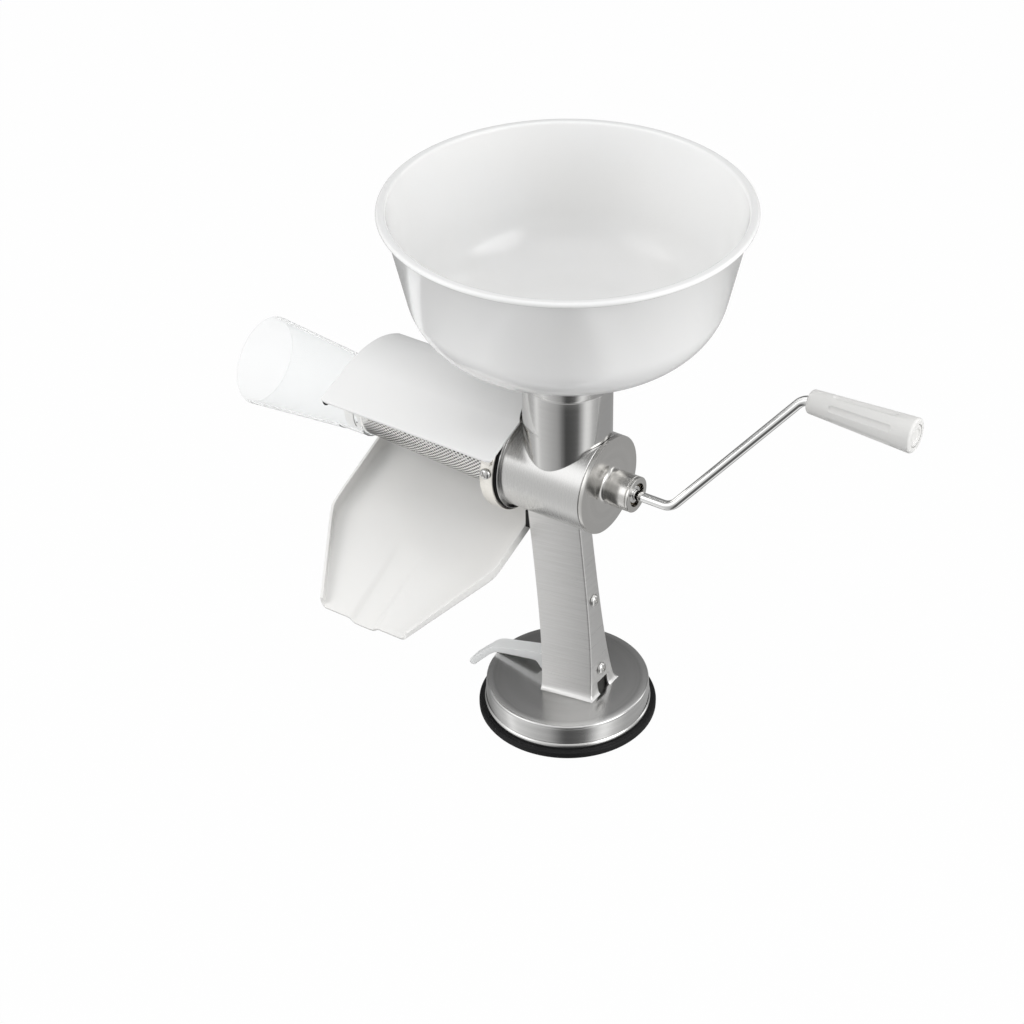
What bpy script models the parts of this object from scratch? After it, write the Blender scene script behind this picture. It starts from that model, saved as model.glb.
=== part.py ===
"""Hand-cranked food strainer on a suction foot.

A bowl drops soft fruit down a neck into a steel barrel. A crank turns an auger that pushes the fruit
along a perforated cone. Juice runs through the holes and down a white chute, and skins leave by a clear funnel.

Everything is in metres, with +Z up. The origin is the centre of the foot's underside, on the axis that the
foot, the neck and the bowl share. The auger and the crank turn about a line parallel to X, with the crank at
+X and the waste funnel at -X. The chute pours towards -Y.
"""
import math

import bmesh
import bpy
from mathutils import Matrix, Vector

# Gaps and sheet thicknesses
gap = 0.0003
plastic_wall = 0.0020
steel_sheet = 0.0015

# Suction foot
pad_overhang = 0.0033
pad_rim_height = 0.0060
pad_edge_round = 0.0010
pad_plug_height = 0.0028
pad_boss_radius = 0.0095
pad_boss_height = 0.0048
pad_pocket_floor = 0.0034

# Steel dome over the foot
base_radius = 0.0625
base_height = 0.0241
base_wall = 0.0012
base_edge_round = 0.0027
base_bead_height = 0.0018
base_bead_depth = 0.0007

# Suction lever and the stem that it lifts
lever_pin_height = 0.0370
lever_pin_radius = 0.0020
lever_pin_head = 0.0033
lever_hub_radius = 0.0115
lever_width = 0.0120
lever_fork_gap = 0.0064
lever_arm_rise = 0.0048
lever_arm_drop = 0.0078
lever_knee_inset = 0.0055
lever_arm_thickness = 0.0070
lever_tab_reach = 0.0275
lever_tab_drop = 0.0238
stem_radius = 0.0030
stem_eye_width = 0.0100
stem_eye_thickness = 0.0056
stem_eye_top = 0.0064
stem_travel = 0.0030
washer_radius = 0.0088
washer_thickness = 0.0008
foot_spring_radius = 0.0062
foot_spring_wire = 0.0012
foot_spring_turns = 3

# Leaning pillar, a channel of folded sheet that is open towards -X
pillar_width = 0.0381
pillar_splay = 0.0076
pillar_web_foot = 0.0312
pillar_lean = 0.1115
pillar_top_depth = 0.0072
pillar_foot_flare = 0.0097
pillar_flare_height = 0.0375
pillar_fold_radius = 0.0030
pillar_window_width = 0.0100
pillar_window_height = 0.0130
screw_heights = (0.0445, 0.1040)
screw_shank_radius = 0.0020
screw_head_radius = 0.0042
screw_head_height = 0.0024
screw_length = 0.0075
bracket_sheet = 0.0020
bracket_half_width = 0.0048
bracket_top = 0.1120
bracket_cheek_reach = 0.0090
bracket_cheek_height = 0.0200

# Barrel, neck and end cap
axis_height = 0.2096
barrel_radius = 0.0360
barrel_wall = 0.0018
barrel_screen_end = -0.0340
barrel_crank_end = 0.0315
barrel_flange_width = 0.0042
barrel_flange_thickness = 0.0015
neck_radius = 0.0314
neck_wall = 0.0015
neck_length = 0.1057
neck_groove_rise = 0.0754
neck_groove_depth = 0.0004
neck_groove_width = 0.0016
cap_thickness = 0.0028
cap_spigot_length = 0.0045
boss_radius = 0.0130
boss_length = 0.0224
boss_groove_depth = 0.0008
boss_recess_radius = 0.0087
boss_recess_depth = 0.0075
bushing_radius = 0.0078
seal_length = 0.0030

# Crank
rod_radius = 0.0035
crank_radius = 0.0993
crank_angle = 54.0
crank_first_bend = 0.0840
crank_second_bend = 0.1515
crank_bend_radius = 0.0110
crank_tip = 0.2300
collar_nut_radius = 0.0065
grip_start = 0.1560
grip_end = 0.2350
grip_small_radius = 0.0085
grip_large_radius = 0.0124
grip_round = 0.0020
grip_pocket_radius = 0.0082
grip_pocket_depth = 0.0090
grip_cap_thickness = 0.0024
grip_flute_count = 6
grip_flute_radius = 0.0042
grip_flute_depth = 0.0011
grip_flute_start = 0.1755
grip_flute_end = 0.2180
washer_disc_thickness = 0.0012

# Auger inside the barrel and the screen
drive_block_width = 0.0140
drive_socket_depth = 0.0140
auger_back = 0.0100
auger_nose = -0.1700
auger_core_back = 0.0130
auger_core_nose = 0.0150
auger_pitch = 0.0290
auger_flight_thickness = 0.0030
auger_clearance = 0.0010
auger_steps = 14
auger_spring_radius = 0.0118
auger_spring_wire = 0.0014
auger_spring_turns = 4

# Perforated cone, its collar and gasket
screen_back_inset = 0.0070
screen_taper = 0.0050
screen_wall = 0.0008
screen_cone_end = -0.1650
screen_nose_end = -0.1770
screen_flange_inset = 0.0015
screen_flange_thickness = 0.0015
collar_overhang = 0.0011
collar_length = 0.0112
collar_lip_thickness = 0.0025
gasket_thickness = 0.0012
collar_screw_count = 3
collar_screw_angle = 173.0
collar_screw_spacing = 110.0
collar_screw_head_radius = 0.0036
collar_screw_head_height = 0.0026

# Clear waste funnel
funnel_mouth = -0.2680
funnel_mouth_radius = 0.0339
funnel_collar_end = -0.1620
funnel_wall = 0.0018

# Juice chute
chute_centre = -0.1018
chute_half_width = 0.0733
chute_front_half_width = 0.0378
chute_front = -0.1103
chute_shoulder = -0.0483
chute_shoulder_drop = 0.0665
chute_back_slope = 0.409
chute_front_slope = 0.532
chute_corner_round = 0.0060
chute_front_depth = 0.0076
chute_shoulder_depth = 0.0120
chute_back_depth = 0.0143
chute_fillet = 0.0050
chute_spout_half_width = 0.0135
chute_spout_depth = 0.0032
chute_back_wall = 0.0445
chute_back_drop = 0.0036
clip_sheet = 0.0014
clip_reach = 0.0080
clip_side_clearance = 0.0020

# Splash shield
shield_left = -0.1715
shield_right = -0.0265
shield_wall = 0.0018
shield_edge_reach = 0.0162
shield_edge_drop = 0.0117
shield_tilt = 18.4
shield_panel_inset = 0.0456
shield_crest_radius = 0.0750
shield_crest_turn = 48.0
shield_shoulder_radius = 0.0120
shield_neck_clearance = 0.0018
stud_radius = 0.0022
stud_height = 0.0016
hook_sheet = 0.0014
hook_width = 0.0070
hook_foot_start = 163.0
hook_foot_end = 139.0

# Hopper bowl
bowl_depth = 0.1037
bowl_lip_width = 0.0051
bowl_lip_height = 0.0042
bowl_mouth_radius = 0.1208
bowl_knee_inset = 0.0128
bowl_knee_share = 0.3983
bowl_turn_end = 78.6
bowl_floor_rise = 0.0051
bowl_spigot_length = 0.0190
bowl_spigot_wall = 0.0018

# Heights and radii that follow from the sizes above
pad_radius = base_radius + pad_overhang
lever_arm_length = base_radius - lever_knee_inset
barrel_flange_radius = barrel_radius + barrel_flange_width
screen_flange_radius = barrel_radius - screen_flange_inset
collar_radius = barrel_flange_radius + collar_overhang
screen_back_radius = barrel_radius - screen_back_inset
screen_nose_radius = screen_back_radius - screen_taper
shield_near_edge = -collar_radius - shield_edge_reach
shield_near_rise = collar_radius - shield_edge_drop
shield_panel_length = 2 * collar_radius - shield_panel_inset
neck_top = axis_height + neck_length
neck_groove_height = axis_height + neck_groove_rise
chute_shoulder_rim = axis_height - chute_shoulder_drop
chute_back_top = axis_height - chute_back_drop
bowl_top = neck_top + bowl_depth
bowl_lip_radius = bowl_mouth_radius + bowl_lip_width
bowl_knee_radius = bowl_mouth_radius - bowl_knee_inset
bowl_knee_height = neck_top + bowl_depth * bowl_knee_share
bowl_floor_height = neck_top + bowl_floor_rise

# Facets of round pieces
round_steps = 36
small_steps = 16
screw_steps = 12
bowl_steps = 48
coil_steps = 10


def remove_everything():
    for item in list(bpy.data.objects):
        bpy.data.objects.remove(item, do_unlink=True)


def new_collection(name):
    collection = bpy.data.collections.new(name)
    bpy.context.scene.collection.children.link(collection)
    return collection


remove_everything()
strainer = new_collection("food_strainer")
cutters = new_collection("cutters")
guides = new_collection("joint_axes")


def material(name, colour, roughness, metallic=0.0, transmission=0.0):
    """One Principled material for one sub-part."""
    item = bpy.data.materials.new(name)
    item.use_nodes = True
    shader = item.node_tree.nodes["Principled BSDF"]
    shader.inputs["Base Color"].default_value = (*colour, 1.0)
    shader.inputs["Roughness"].default_value = roughness
    shader.inputs["Metallic"].default_value = metallic
    shader.inputs["Transmission Weight"].default_value = transmission
    item.diffuse_color = (*colour, 1.0)
    return item


def white_plastic(name):
    return material(name, (0.84, 0.84, 0.82), 0.35)


def steel(name, roughness=0.3):
    return material(name, (0.62, 0.61, 0.59), roughness, 1.0)


def rubber(name):
    return material(name, (0.02, 0.02, 0.02), 0.6)


def add_mesh(name, mesh, finish, matrix=None):
    """Links a mesh as a named sub-part, with its material and its place."""
    part = bpy.data.objects.new(name, mesh)
    mesh.materials.clear()
    if finish:
        mesh.materials.append(finish)
    if matrix is not None:
        part.matrix_world = matrix
    strainer.objects.link(part)
    return part


def make_cutter(part):
    """Hides a shape that only cuts another."""
    strainer.objects.unlink(part)
    cutters.objects.link(part)
    part.hide_render = True
    part.display_type = "WIRE"
    return part


def evaluated_mesh(part):
    """The object's mesh with its modifiers applied."""
    bpy.context.view_layer.update()
    graph = bpy.context.evaluated_depsgraph_get()
    return bpy.data.meshes.new_from_object(part.evaluated_get(graph))


def settle(part, crease=35.0):
    """Applies the modifiers, then shades round faces smooth and keeps the corners sharp."""
    mesh = evaluated_mesh(part)
    part.modifiers.clear()
    part.data = mesh
    mesh.shade_smooth()
    mesh.set_sharp_from_angle(angle=math.radians(crease))
    return part


def boolean(part, other, operation):
    modifier = part.modifiers.new(operation.lower(), "BOOLEAN")
    modifier.operation = operation
    modifier.object = other
    modifier.solver = "EXACT"
    return settle(part)


def cut(part, *others):
    """Cuts each of the other shapes out of the part."""
    for other in others:
        make_cutter(other)
        boolean(part, other, "DIFFERENCE")
    return part


def join(part, *others):
    """Makes one solid of overlapping shapes."""
    for other in others:
        boolean(part, other, "UNION")
        bpy.data.objects.remove(other, do_unlink=True)
    return part


def arc(centre, radius, start, end, steps):
    """Points along an arc, with angles in degrees."""
    points = []
    for i in range(steps + 1):
        angle = math.radians(start + (end - start) * i / steps)
        points.append((centre[0] + radius * math.cos(angle), centre[1] + radius * math.sin(angle)))
    return points


def turned(name, profile, finish, axis="Z", centre=(0.0, 0.0, 0.0), ring=True, steps=round_steps):
    """Turns a profile of (radius, height) points that runs down its outer side.

    A ring's profile is closed. Any other starts and ends on the axis. With axis X the height is along +X.
    """
    mesh = bpy.data.meshes.new(name)
    edges = [(i, i + 1) for i in range(len(profile) - 1)]
    if ring:
        edges.append((len(profile) - 1, 0))
    mesh.from_pydata([(radius, 0.0, height) for radius, height in profile], edges, [])
    turn = Matrix.Rotation(math.radians(90.0), 4, "Y") if axis == "X" else Matrix.Identity(4)
    part = add_mesh(name, mesh, finish, Matrix.Translation(centre) @ turn)
    screw = part.modifiers.new("turn", "SCREW")
    screw.axis = "Z"
    screw.angle = math.tau
    screw.steps = steps
    screw.render_steps = steps
    screw.use_merge_vertices = True
    screw.merge_threshold = 0.00001
    return settle(part)


def on_axis(x=0.0):
    """A point on the auger's axis."""
    return (x, 0.0, axis_height)


def from_curve(name, curve, finish, matrix):
    """Makes a mesh of a curve and welds its caps."""
    guide = bpy.data.objects.new(name + "_curve", curve)
    guide.matrix_world = matrix
    strainer.objects.link(guide)
    mesh = evaluated_mesh(guide)
    shape = bmesh.new()
    shape.from_mesh(mesh)
    bmesh.ops.remove_doubles(shape, verts=shape.verts, dist=0.00001)
    shape.to_mesh(mesh)
    shape.free()
    bpy.data.objects.remove(guide, do_unlink=True)
    mesh.name = name
    part = add_mesh(name, mesh, finish, matrix)
    return settle(part)


def plate(name, outline, thickness, finish, matrix):
    """A flat outline in the matrix's own XY plane, as thick as stated, half to each side."""
    curve = bpy.data.curves.new(name, "CURVE")
    curve.dimensions = "2D"
    curve.fill_mode = "BOTH"
    curve.extrude = thickness / 2
    spline = curve.splines.new("POLY")
    spline.points.add(len(outline) - 1)
    for point, (x, y) in zip(spline.points, outline):
        point.co = (x, y, 0.0, 1.0)
    spline.use_cyclic_u = True
    return from_curve(name, curve, finish, matrix)


def side_plate(name, outline, thickness, finish, y=0.0):
    """A plate whose outline is in X and Z, standing at the given Y."""
    upright = Matrix.Translation((0.0, y, 0.0)) @ Matrix.Rotation(math.radians(90.0), 4, "X")
    return plate(name, outline, thickness, finish, upright)


def end_plate(name, outline, thickness, finish, x=0.0):
    """A plate whose outline is in Y and Z, standing at the given X."""
    facing = Matrix(((0.0, 0.0, 1.0, x), (1.0, 0.0, 0.0, 0.0), (0.0, 1.0, 0.0, 0.0), (0.0, 0.0, 0.0, 1.0)))
    return plate(name, outline, thickness, finish, facing)


def tube(name, points, radius, finish, resolution=2):
    """A solid rod along a list of points."""
    curve = bpy.data.curves.new(name, "CURVE")
    curve.dimensions = "3D"
    curve.bevel_depth = radius
    curve.bevel_resolution = resolution
    curve.use_fill_caps = True
    spline = curve.splines.new("POLY")
    spline.points.add(len(points) - 1)
    for point, place in zip(spline.points, points):
        point.co = (*place, 1.0)
    return from_curve(name, curve, finish, Matrix.Identity(4))


def block(name, low, high, finish=None):
    """A box between two corners."""
    mesh = bpy.data.meshes.new(name)
    shape = bmesh.new()
    bmesh.ops.create_cube(shape, size=1.0)
    size = Vector(high) - Vector(low)
    middle = (Vector(high) + Vector(low)) / 2
    bmesh.ops.transform(shape, matrix=Matrix.Diagonal((*size, 1.0)), verts=shape.verts)
    bmesh.ops.translate(shape, vec=middle, verts=shape.verts)
    shape.to_mesh(mesh)
    shape.free()
    return add_mesh(name, mesh, finish)


def rod(name, start, end, radius, finish=None, steps=small_steps):
    """A plain cylinder between two points."""
    mesh = bpy.data.meshes.new(name)
    shape = bmesh.new()
    line = Vector(end) - Vector(start)
    bmesh.ops.create_cone(shape, cap_ends=True, segments=steps, radius1=radius, radius2=radius,
                          depth=line.length)
    shape.to_mesh(mesh)
    shape.free()
    turn = Vector((0.0, 0.0, 1.0)).rotation_difference(line).to_matrix().to_4x4()
    middle = (Vector(start) + Vector(end)) / 2
    return add_mesh(name, mesh, finish, Matrix.Translation(middle) @ turn)


def loft(name, rows, finish):
    """An open surface through rows of points, all of one length."""
    mesh = bpy.data.meshes.new(name)
    across = len(rows[0])
    faces = []
    for i in range(len(rows) - 1):
        for j in range(across - 1):
            k = i * across + j
            faces.append((k, k + 1, k + across + 1, k + across))
    mesh.from_pydata([point for row in rows for point in row], [], faces)
    return add_mesh(name, mesh, finish)


def thicken(part, thickness, offset):
    """Gives a surface a wall. Offset -1 keeps the surface as the side that the faces look from."""
    wall = part.modifiers.new("wall", "SOLIDIFY")
    wall.thickness = thickness
    wall.offset = offset
    wall.use_even_offset = True
    return settle(part)


def helix(middle, radius, start, end, turns, axis):
    """Points of a coil about a line along X or Z through the middle point."""
    points = []
    for i in range(turns * coil_steps + 1):
        angle = math.tau * i / coil_steps
        along = start + (end - start) * i / (turns * coil_steps)
        side = radius * math.cos(angle)
        up = radius * math.sin(angle)
        if axis == "X":
            points.append((along, middle[1] + side, middle[2] + up))
        else:
            points.append((middle[0] + side, middle[1] + up, along))
    return points


def coil_gap(points, wire):
    """The least gap between a coil's points and the points most of a turn or more away along it."""
    apart = coil_steps * 3 // 4
    places = [Vector(point) for point in points]
    nearest = min((a - b).length for i, a in enumerate(places) for b in places[i + apart:])
    return nearest - wire


# Foot: rubber pad, steel dome and washer

plug_radius = base_radius - base_wall - gap
plug_top = pad_rim_height + pad_plug_height
boss_top = plug_top + pad_boss_height
pocket_radius = stem_radius + gap
shell_bottom = pad_rim_height + gap
shell_ceiling = base_height - base_wall


def make_suction_pad():
    edge = pad_edge_round
    profile = [(0.0, pad_pocket_floor), (pocket_radius, pad_pocket_floor), (pocket_radius, boss_top),
               (pad_boss_radius, boss_top), (pad_boss_radius, plug_top), (plug_radius, plug_top),
               (plug_radius, pad_rim_height), (pad_radius - edge, pad_rim_height)]
    profile += arc((pad_radius - edge, pad_rim_height - edge), edge, 90.0, 0.0, 2)[1:]
    profile += arc((pad_radius - edge, edge), edge, 0.0, -90.0, 2)
    profile += [(0.0, 0.0)]
    return turned("suction_pad", profile, rubber("pad_rubber"), ring=False)


def make_base_shell():
    inner = base_radius - base_wall
    hole = stem_radius + 2 * gap
    bead = base_radius + base_bead_depth
    bead_top = shell_bottom + base_bead_height
    corner = base_radius - base_edge_round
    profile = [(hole, base_height)]
    profile += arc((corner, base_height - base_edge_round), base_edge_round, 90.0, 0.0, 3)
    profile += [(base_radius, bead_top + base_bead_depth), (bead, bead_top), (bead, shell_bottom),
                (inner, shell_bottom)]
    inside = arc((corner, base_height - base_edge_round), base_edge_round - base_wall, 0.0, 90.0, 2)
    profile += inside + [(hole, shell_ceiling)]
    return turned("base_shell", profile, steel("base_steel"))


def make_wear_washer():
    low = base_height + gap
    top = low + washer_thickness
    hole = stem_radius + 2 * gap
    profile = [(hole, top), (washer_radius, top), (washer_radius, low), (hole, low)]
    return turned("wear_washer", profile, steel("washer_steel"), steps=small_steps)


def make_release_spring():
    start = boss_top + gap + foot_spring_wire / 2
    end = shell_ceiling - gap - foot_spring_wire / 2
    points = helix((0.0, 0.0, 0.0), foot_spring_radius, start, end, foot_spring_turns, "Z")
    print("release spring gap in mm", round(1000 * coil_gap(points, foot_spring_wire), 2))
    return tube("release_spring", points, foot_spring_wire / 2, steel("spring_steel"), 1)


# Lever, its pin and the stem

def lever_outline():
    """The lever's side in X and Z, round its pin, with the finger tab hanging past the edge of the foot."""
    x0 = 0.0
    z0 = lever_pin_height
    root = -lever_hub_radius * 0.55
    arm_top = z0 + lever_arm_rise
    arm_low = arm_top - lever_arm_thickness
    knee = -lever_arm_length
    knee_top = arm_top - lever_arm_drop - lever_arm_thickness * 0.30
    tip = knee - lever_tab_reach
    tip_top = knee_top - lever_tab_drop
    heel = z0 - lever_hub_radius + 0.0006
    hub = arc((x0, z0), lever_hub_radius, 125.0, -90.0, 12)
    under = [(-0.0090, heel), (-0.0182, heel + 0.0002), (-0.0235, arm_low - 0.0015)]
    tab_under = [(knee - 0.0035, knee_top - lever_arm_thickness * 0.86),
                 (knee - 0.0085, knee_top - lever_arm_thickness * 1.55), (tip + 0.0075, tip_top - 0.0025),
                 (tip + 0.0035, tip_top - 0.0035)]
    over = [(tip - 0.0003, tip_top - 0.0010), (tip, tip_top + 0.0015), (knee - 0.0075, knee_top - 0.0055),
            (knee - 0.0025, knee_top - 0.0012), (knee + 0.0030, knee_top + 0.0004), (root, arm_top)]
    return hub + under + tab_under + over


def make_lever():
    half = lever_width / 2
    finish = material("lever_plastic", (0.86, 0.87, 0.86), 0.3, transmission=0.35)
    lever = side_plate("suction_lever", lever_outline(), lever_width, finish)
    pin_hole = rod("lever_pin_hole", (0.0, -half * 2, lever_pin_height), (0.0, half * 2, lever_pin_height),
                   lever_pin_radius + gap)
    reach = lever_hub_radius + 2 * gap
    fork = block("lever_fork", (-reach, -lever_fork_gap / 2, lever_pin_height - 2 * reach),
                 (reach, lever_fork_gap / 2, lever_pin_height + 2 * reach))
    return cut(lever, pin_hole, fork)


def bracket_cheek_y():
    """The middle of one cheek of the bracket, beside the lever."""
    return lever_width / 2 + 2 * gap + bracket_sheet / 2


def make_lever_pin():
    grip_half = bracket_cheek_y() + bracket_sheet / 2 + gap
    head = lever_pin_head - lever_pin_radius
    profile = [(0.0, grip_half + head), (lever_pin_head, grip_half + head), (lever_pin_head, grip_half),
               (lever_pin_radius, grip_half), (lever_pin_radius, -grip_half), (lever_pin_head, -grip_half),
               (lever_pin_head, -grip_half - head), (0.0, -grip_half - head)]
    pin = turned("lever_pin", profile, steel("pin_steel"), ring=False, steps=small_steps)
    pin.matrix_world = Matrix.Translation((0.0, 0.0, lever_pin_height)) @ Matrix.Rotation(math.radians(90.0), 4, "X")
    return pin


def make_pull_stem():
    low = pad_pocket_floor + gap + stem_travel
    eye_top = lever_pin_height + stem_eye_top
    eye_low = lever_pin_height - stem_eye_top * 1.3
    stem = rod("pull_stem", (0.0, 0.0, low), (0.0, 0.0, eye_low + gap * 4), stem_radius, steel("stem_steel"))
    eye = block("stem_eye", (-stem_eye_width / 2, -stem_eye_thickness / 2, eye_low),
                (stem_eye_width / 2, stem_eye_thickness / 2, eye_top + stem_travel))
    join(stem, eye)
    slot_radius = lever_pin_radius + gap
    deep = stem_eye_thickness
    low_hole = rod("stem_slot_low", (0.0, -deep, lever_pin_height), (0.0, deep, lever_pin_height), slot_radius)
    top_z = lever_pin_height + stem_travel
    top_hole = rod("stem_slot_top", (0.0, -deep, top_z), (0.0, deep, top_z), slot_radius)
    middle = block("stem_slot_middle", (-slot_radius, -deep, lever_pin_height), (slot_radius, deep, top_z))
    return cut(stem, low_hole, top_hole, middle)


# Pillar, its bracket and its screws

def web_x(z):
    """The outer face of the pillar's web at a height."""
    return pillar_web_foot - pillar_lean * (z - base_height)


def half_depth(z):
    """Half the pillar's depth along Y, which flares towards the foot."""
    return pillar_top_depth + pillar_foot_flare * math.exp((base_height - z) / pillar_flare_height)


def pillar_row(z):
    """The channel's outer outline at one height, from one free edge round the web to the other."""
    web = web_x(z)
    half = half_depth(z)
    fold = pillar_fold_radius
    edge = web - pillar_width
    near = [(edge, -half - pillar_splay), (edge + pillar_width / 3, -half - pillar_splay * 2 / 3)]
    near += arc((web - fold, fold - half), fold, -90.0, 0.0, 3)
    far = [(x, -y) for x, y in reversed(near)]
    return [(x, y, z) for x, y in near + far]


def make_pillar():
    foot = base_height + gap
    top = axis_height - barrel_radius * 0.85
    levels = 12
    rows = []
    start = foot - steel_sheet
    for i in range(levels + 1):
        share = i / levels
        rows.append(pillar_row(start + (top - start) * share ** 1.35))
    pillar = thicken(loft("pillar", rows, steel("pillar_steel", 0.38)), steel_sheet, -1.0)
    seat = rod("pillar_seat", on_axis(-2 * barrel_radius), on_axis(2 * barrel_radius), barrel_radius + gap,
               steps=round_steps)
    flare = pillar_foot_flare * 2
    window = block("pillar_window", (web_x(foot) - flare, -pillar_window_width / 2, foot - flare),
                   (web_x(foot) + flare, pillar_window_width / 2, foot + pillar_window_height))
    reach = pillar_width + pillar_web_foot
    ground = block("pillar_ground", (-reach, -reach, -reach), (reach, reach, foot))
    cut(pillar, seat, window, ground)
    for height in screw_heights:
        cut(pillar, screw_hole(height))
    return pillar


def lean_direction():
    """The way that the pillar's web faces."""
    return Vector((1.0, 0.0, pillar_lean)).normalized()


def screw_hole(height):
    middle = Vector((web_x(height), 0.0, height))
    reach = lean_direction() * screw_length * 2
    return rod("screw_hole", middle - reach, middle + reach, screw_shank_radius + gap)


def screw_matrix(height):
    """A place whose +Z points out of the web."""
    turn = Vector((0.0, 0.0, 1.0)).rotation_difference(lean_direction()).to_matrix().to_4x4()
    return Matrix.Translation((web_x(height), 0.0, height)) @ turn


def pan_screw(name, finish, head_radius, head_height, shank_radius, length):
    """A round-headed screw along +Z, with the head's underside just clear of zero."""
    rise = head_height / 2
    profile = [(0.0, gap + head_height), (head_radius * 0.65, gap + head_height * 0.92),
               (head_radius, gap + rise), (head_radius, gap)]
    if length:
        profile += [(shank_radius, gap), (shank_radius, -length), (0.0, -length)]
    else:
        profile += [(0.0, gap)]
    screw = turned(name, profile, finish, ring=False, steps=screw_steps)
    arm = head_radius * 0.55
    slot = head_radius * 0.13
    deep = gap + head_height * 0.55
    top = gap + head_height * 1.5
    return cut(screw, block("slot_a", (-arm, -slot, deep), (arm, slot, top)),
               block("slot_b", (-slot, -arm, deep), (slot, arm, top)))


def place_copies(first, named_places):
    """Puts the first screw and its copies, which share its mesh, at their places."""
    for i, (name, place) in enumerate(named_places):
        screw = first if i == 0 else bpy.data.objects.new(name, first.data)
        if i:
            strainer.objects.link(screw)
        screw.name = name
        screw.matrix_world = place


def make_pillar_screws():
    finish = material("screw_chrome", (0.75, 0.75, 0.74), 0.15, 1.0)
    screw = pan_screw("pillar_screw", finish, screw_head_radius, screw_head_height, screw_shank_radius,
                      screw_length)
    names = ("pillar_screw_lower", "pillar_screw_upper")
    place_copies(screw, [(name, screw_matrix(height)) for name, height in zip(names, screw_heights)])


def leaning_strip(name, low, top, inset, thickness, width, finish):
    """A strip that leans with the web, its back a distance inside the web's outer face."""
    slant = math.hypot(1.0, pillar_lean)
    back = [(web_x(z) - inset * slant, z) for z in (low, top)]
    front = [(x - thickness * slant, z) for x, z in reversed(back)]
    return side_plate(name, back + front, width, finish)


def make_lever_bracket():
    """A strip inside the web with two cheeks that carry the lever's pin."""
    finish = steel("bracket_steel")
    inset = steel_sheet + gap
    low = base_height + gap + washer_thickness * 2
    cheek_top = lever_pin_height + bracket_cheek_height / 2
    cheek_y = bracket_cheek_y()
    bracket = leaning_strip("lever_bracket", low, bracket_top, inset, bracket_sheet, 2 * bracket_half_width, finish)
    cross = leaning_strip("bracket_cross", low + gap * 2, cheek_top, inset + gap, bracket_sheet,
                          2 * cheek_y + bracket_sheet + gap, finish)
    cheek_low = low + gap * 4
    cheek_high = cheek_top - gap * 2
    root = inset + bracket_sheet / 2
    outline = [(web_x(cheek_low) - root, cheek_low), (web_x(cheek_high) - root, cheek_high),
               (bracket_cheek_reach * 0.3, cheek_high), (-bracket_cheek_reach, lever_pin_height + bracket_sheet * 2),
               (-bracket_cheek_reach, cheek_low)]
    cheeks = [side_plate("cheek", outline, bracket_sheet, finish, side * cheek_y) for side in (-1.0, 1.0)]
    join(bracket, cross, *cheeks)
    pin_hole = rod("bracket_pin_hole", (0.0, -2 * cheek_y, lever_pin_height), (0.0, 2 * cheek_y, lever_pin_height),
                   lever_pin_radius + gap)
    return cut(bracket, pin_hole, *[screw_hole(height) for height in screw_heights])


# Barrel with its neck, and the end cap

def make_barrel():
    finish = steel("barrel_steel", 0.22)
    inner = barrel_radius - barrel_wall
    flange_end = barrel_screen_end + barrel_flange_thickness
    outer = [(barrel_radius, barrel_crank_end), (barrel_radius, flange_end), (barrel_flange_radius, flange_end),
             (barrel_flange_radius, barrel_screen_end), (0.0, barrel_screen_end)]
    barrel = turned("barrel", [(0.0, barrel_crank_end)] + outer, finish, "X", on_axis(), ring=False)
    groove_top = neck_groove_height + neck_groove_width / 2
    groove_low = neck_groove_height - neck_groove_width / 2
    groove = neck_radius - neck_groove_depth
    neck = turned("neck", [(0.0, neck_top), (neck_radius, neck_top), (neck_radius, groove_top),
                           (groove, neck_groove_height), (neck_radius, groove_low),
                           (neck_radius, axis_height), (0.0, axis_height)], finish, ring=False)
    join(barrel, neck)
    bore = rod("barrel_bore", on_axis(2 * barrel_screen_end), on_axis(2 * barrel_crank_end), inner,
               steps=round_steps)
    neck_bore = rod("neck_bore", on_axis(), (0.0, 0.0, neck_top * 1.1), neck_radius - neck_wall, steps=round_steps)
    return cut(barrel, bore, neck_bore)


cap_inside = barrel_crank_end + gap
cap_face = cap_inside + cap_thickness
boss_end = cap_face + boss_length
spigot_end = cap_inside - cap_spigot_length
recess_floor = boss_end - boss_recess_depth
bushing_bore = rod_radius + gap


def make_end_cap():
    edge = cap_thickness / 4
    groove = boss_radius - boss_groove_depth
    groove_start = cap_face + boss_groove_depth * 2
    end_step = boss_end - boss_radius / 5
    spigot = barrel_radius - barrel_wall - gap
    bore = bushing_radius + gap
    profile = [(boss_recess_radius, boss_end), (boss_radius - edge, boss_end), (boss_radius, boss_end - edge),
               (boss_radius, end_step), (groove, end_step - gap * 2), (boss_radius, end_step - gap * 4),
               (boss_radius, groove_start + boss_groove_depth * 3), (groove, groove_start + boss_groove_depth * 2),
               (groove, groove_start), (boss_radius, groove_start - boss_groove_depth), (boss_radius, cap_face),
               (barrel_radius - edge, cap_face), (barrel_radius, cap_face - edge), (barrel_radius, cap_inside),
               (spigot, cap_inside), (spigot, spigot_end), (bore, spigot_end), (bore, recess_floor),
               (boss_recess_radius, recess_floor)]
    return turned("end_cap", profile, steel("cap_steel", 0.15), "X", on_axis())


def make_shaft_seal():
    end = spigot_end + seal_length
    profile = [(bushing_bore, end), (bushing_radius, end), (bushing_radius, spigot_end), (bushing_bore, spigot_end)]
    return turned("shaft_seal", profile, rubber("seal_rubber"), "X", on_axis(), steps=small_steps)


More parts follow.
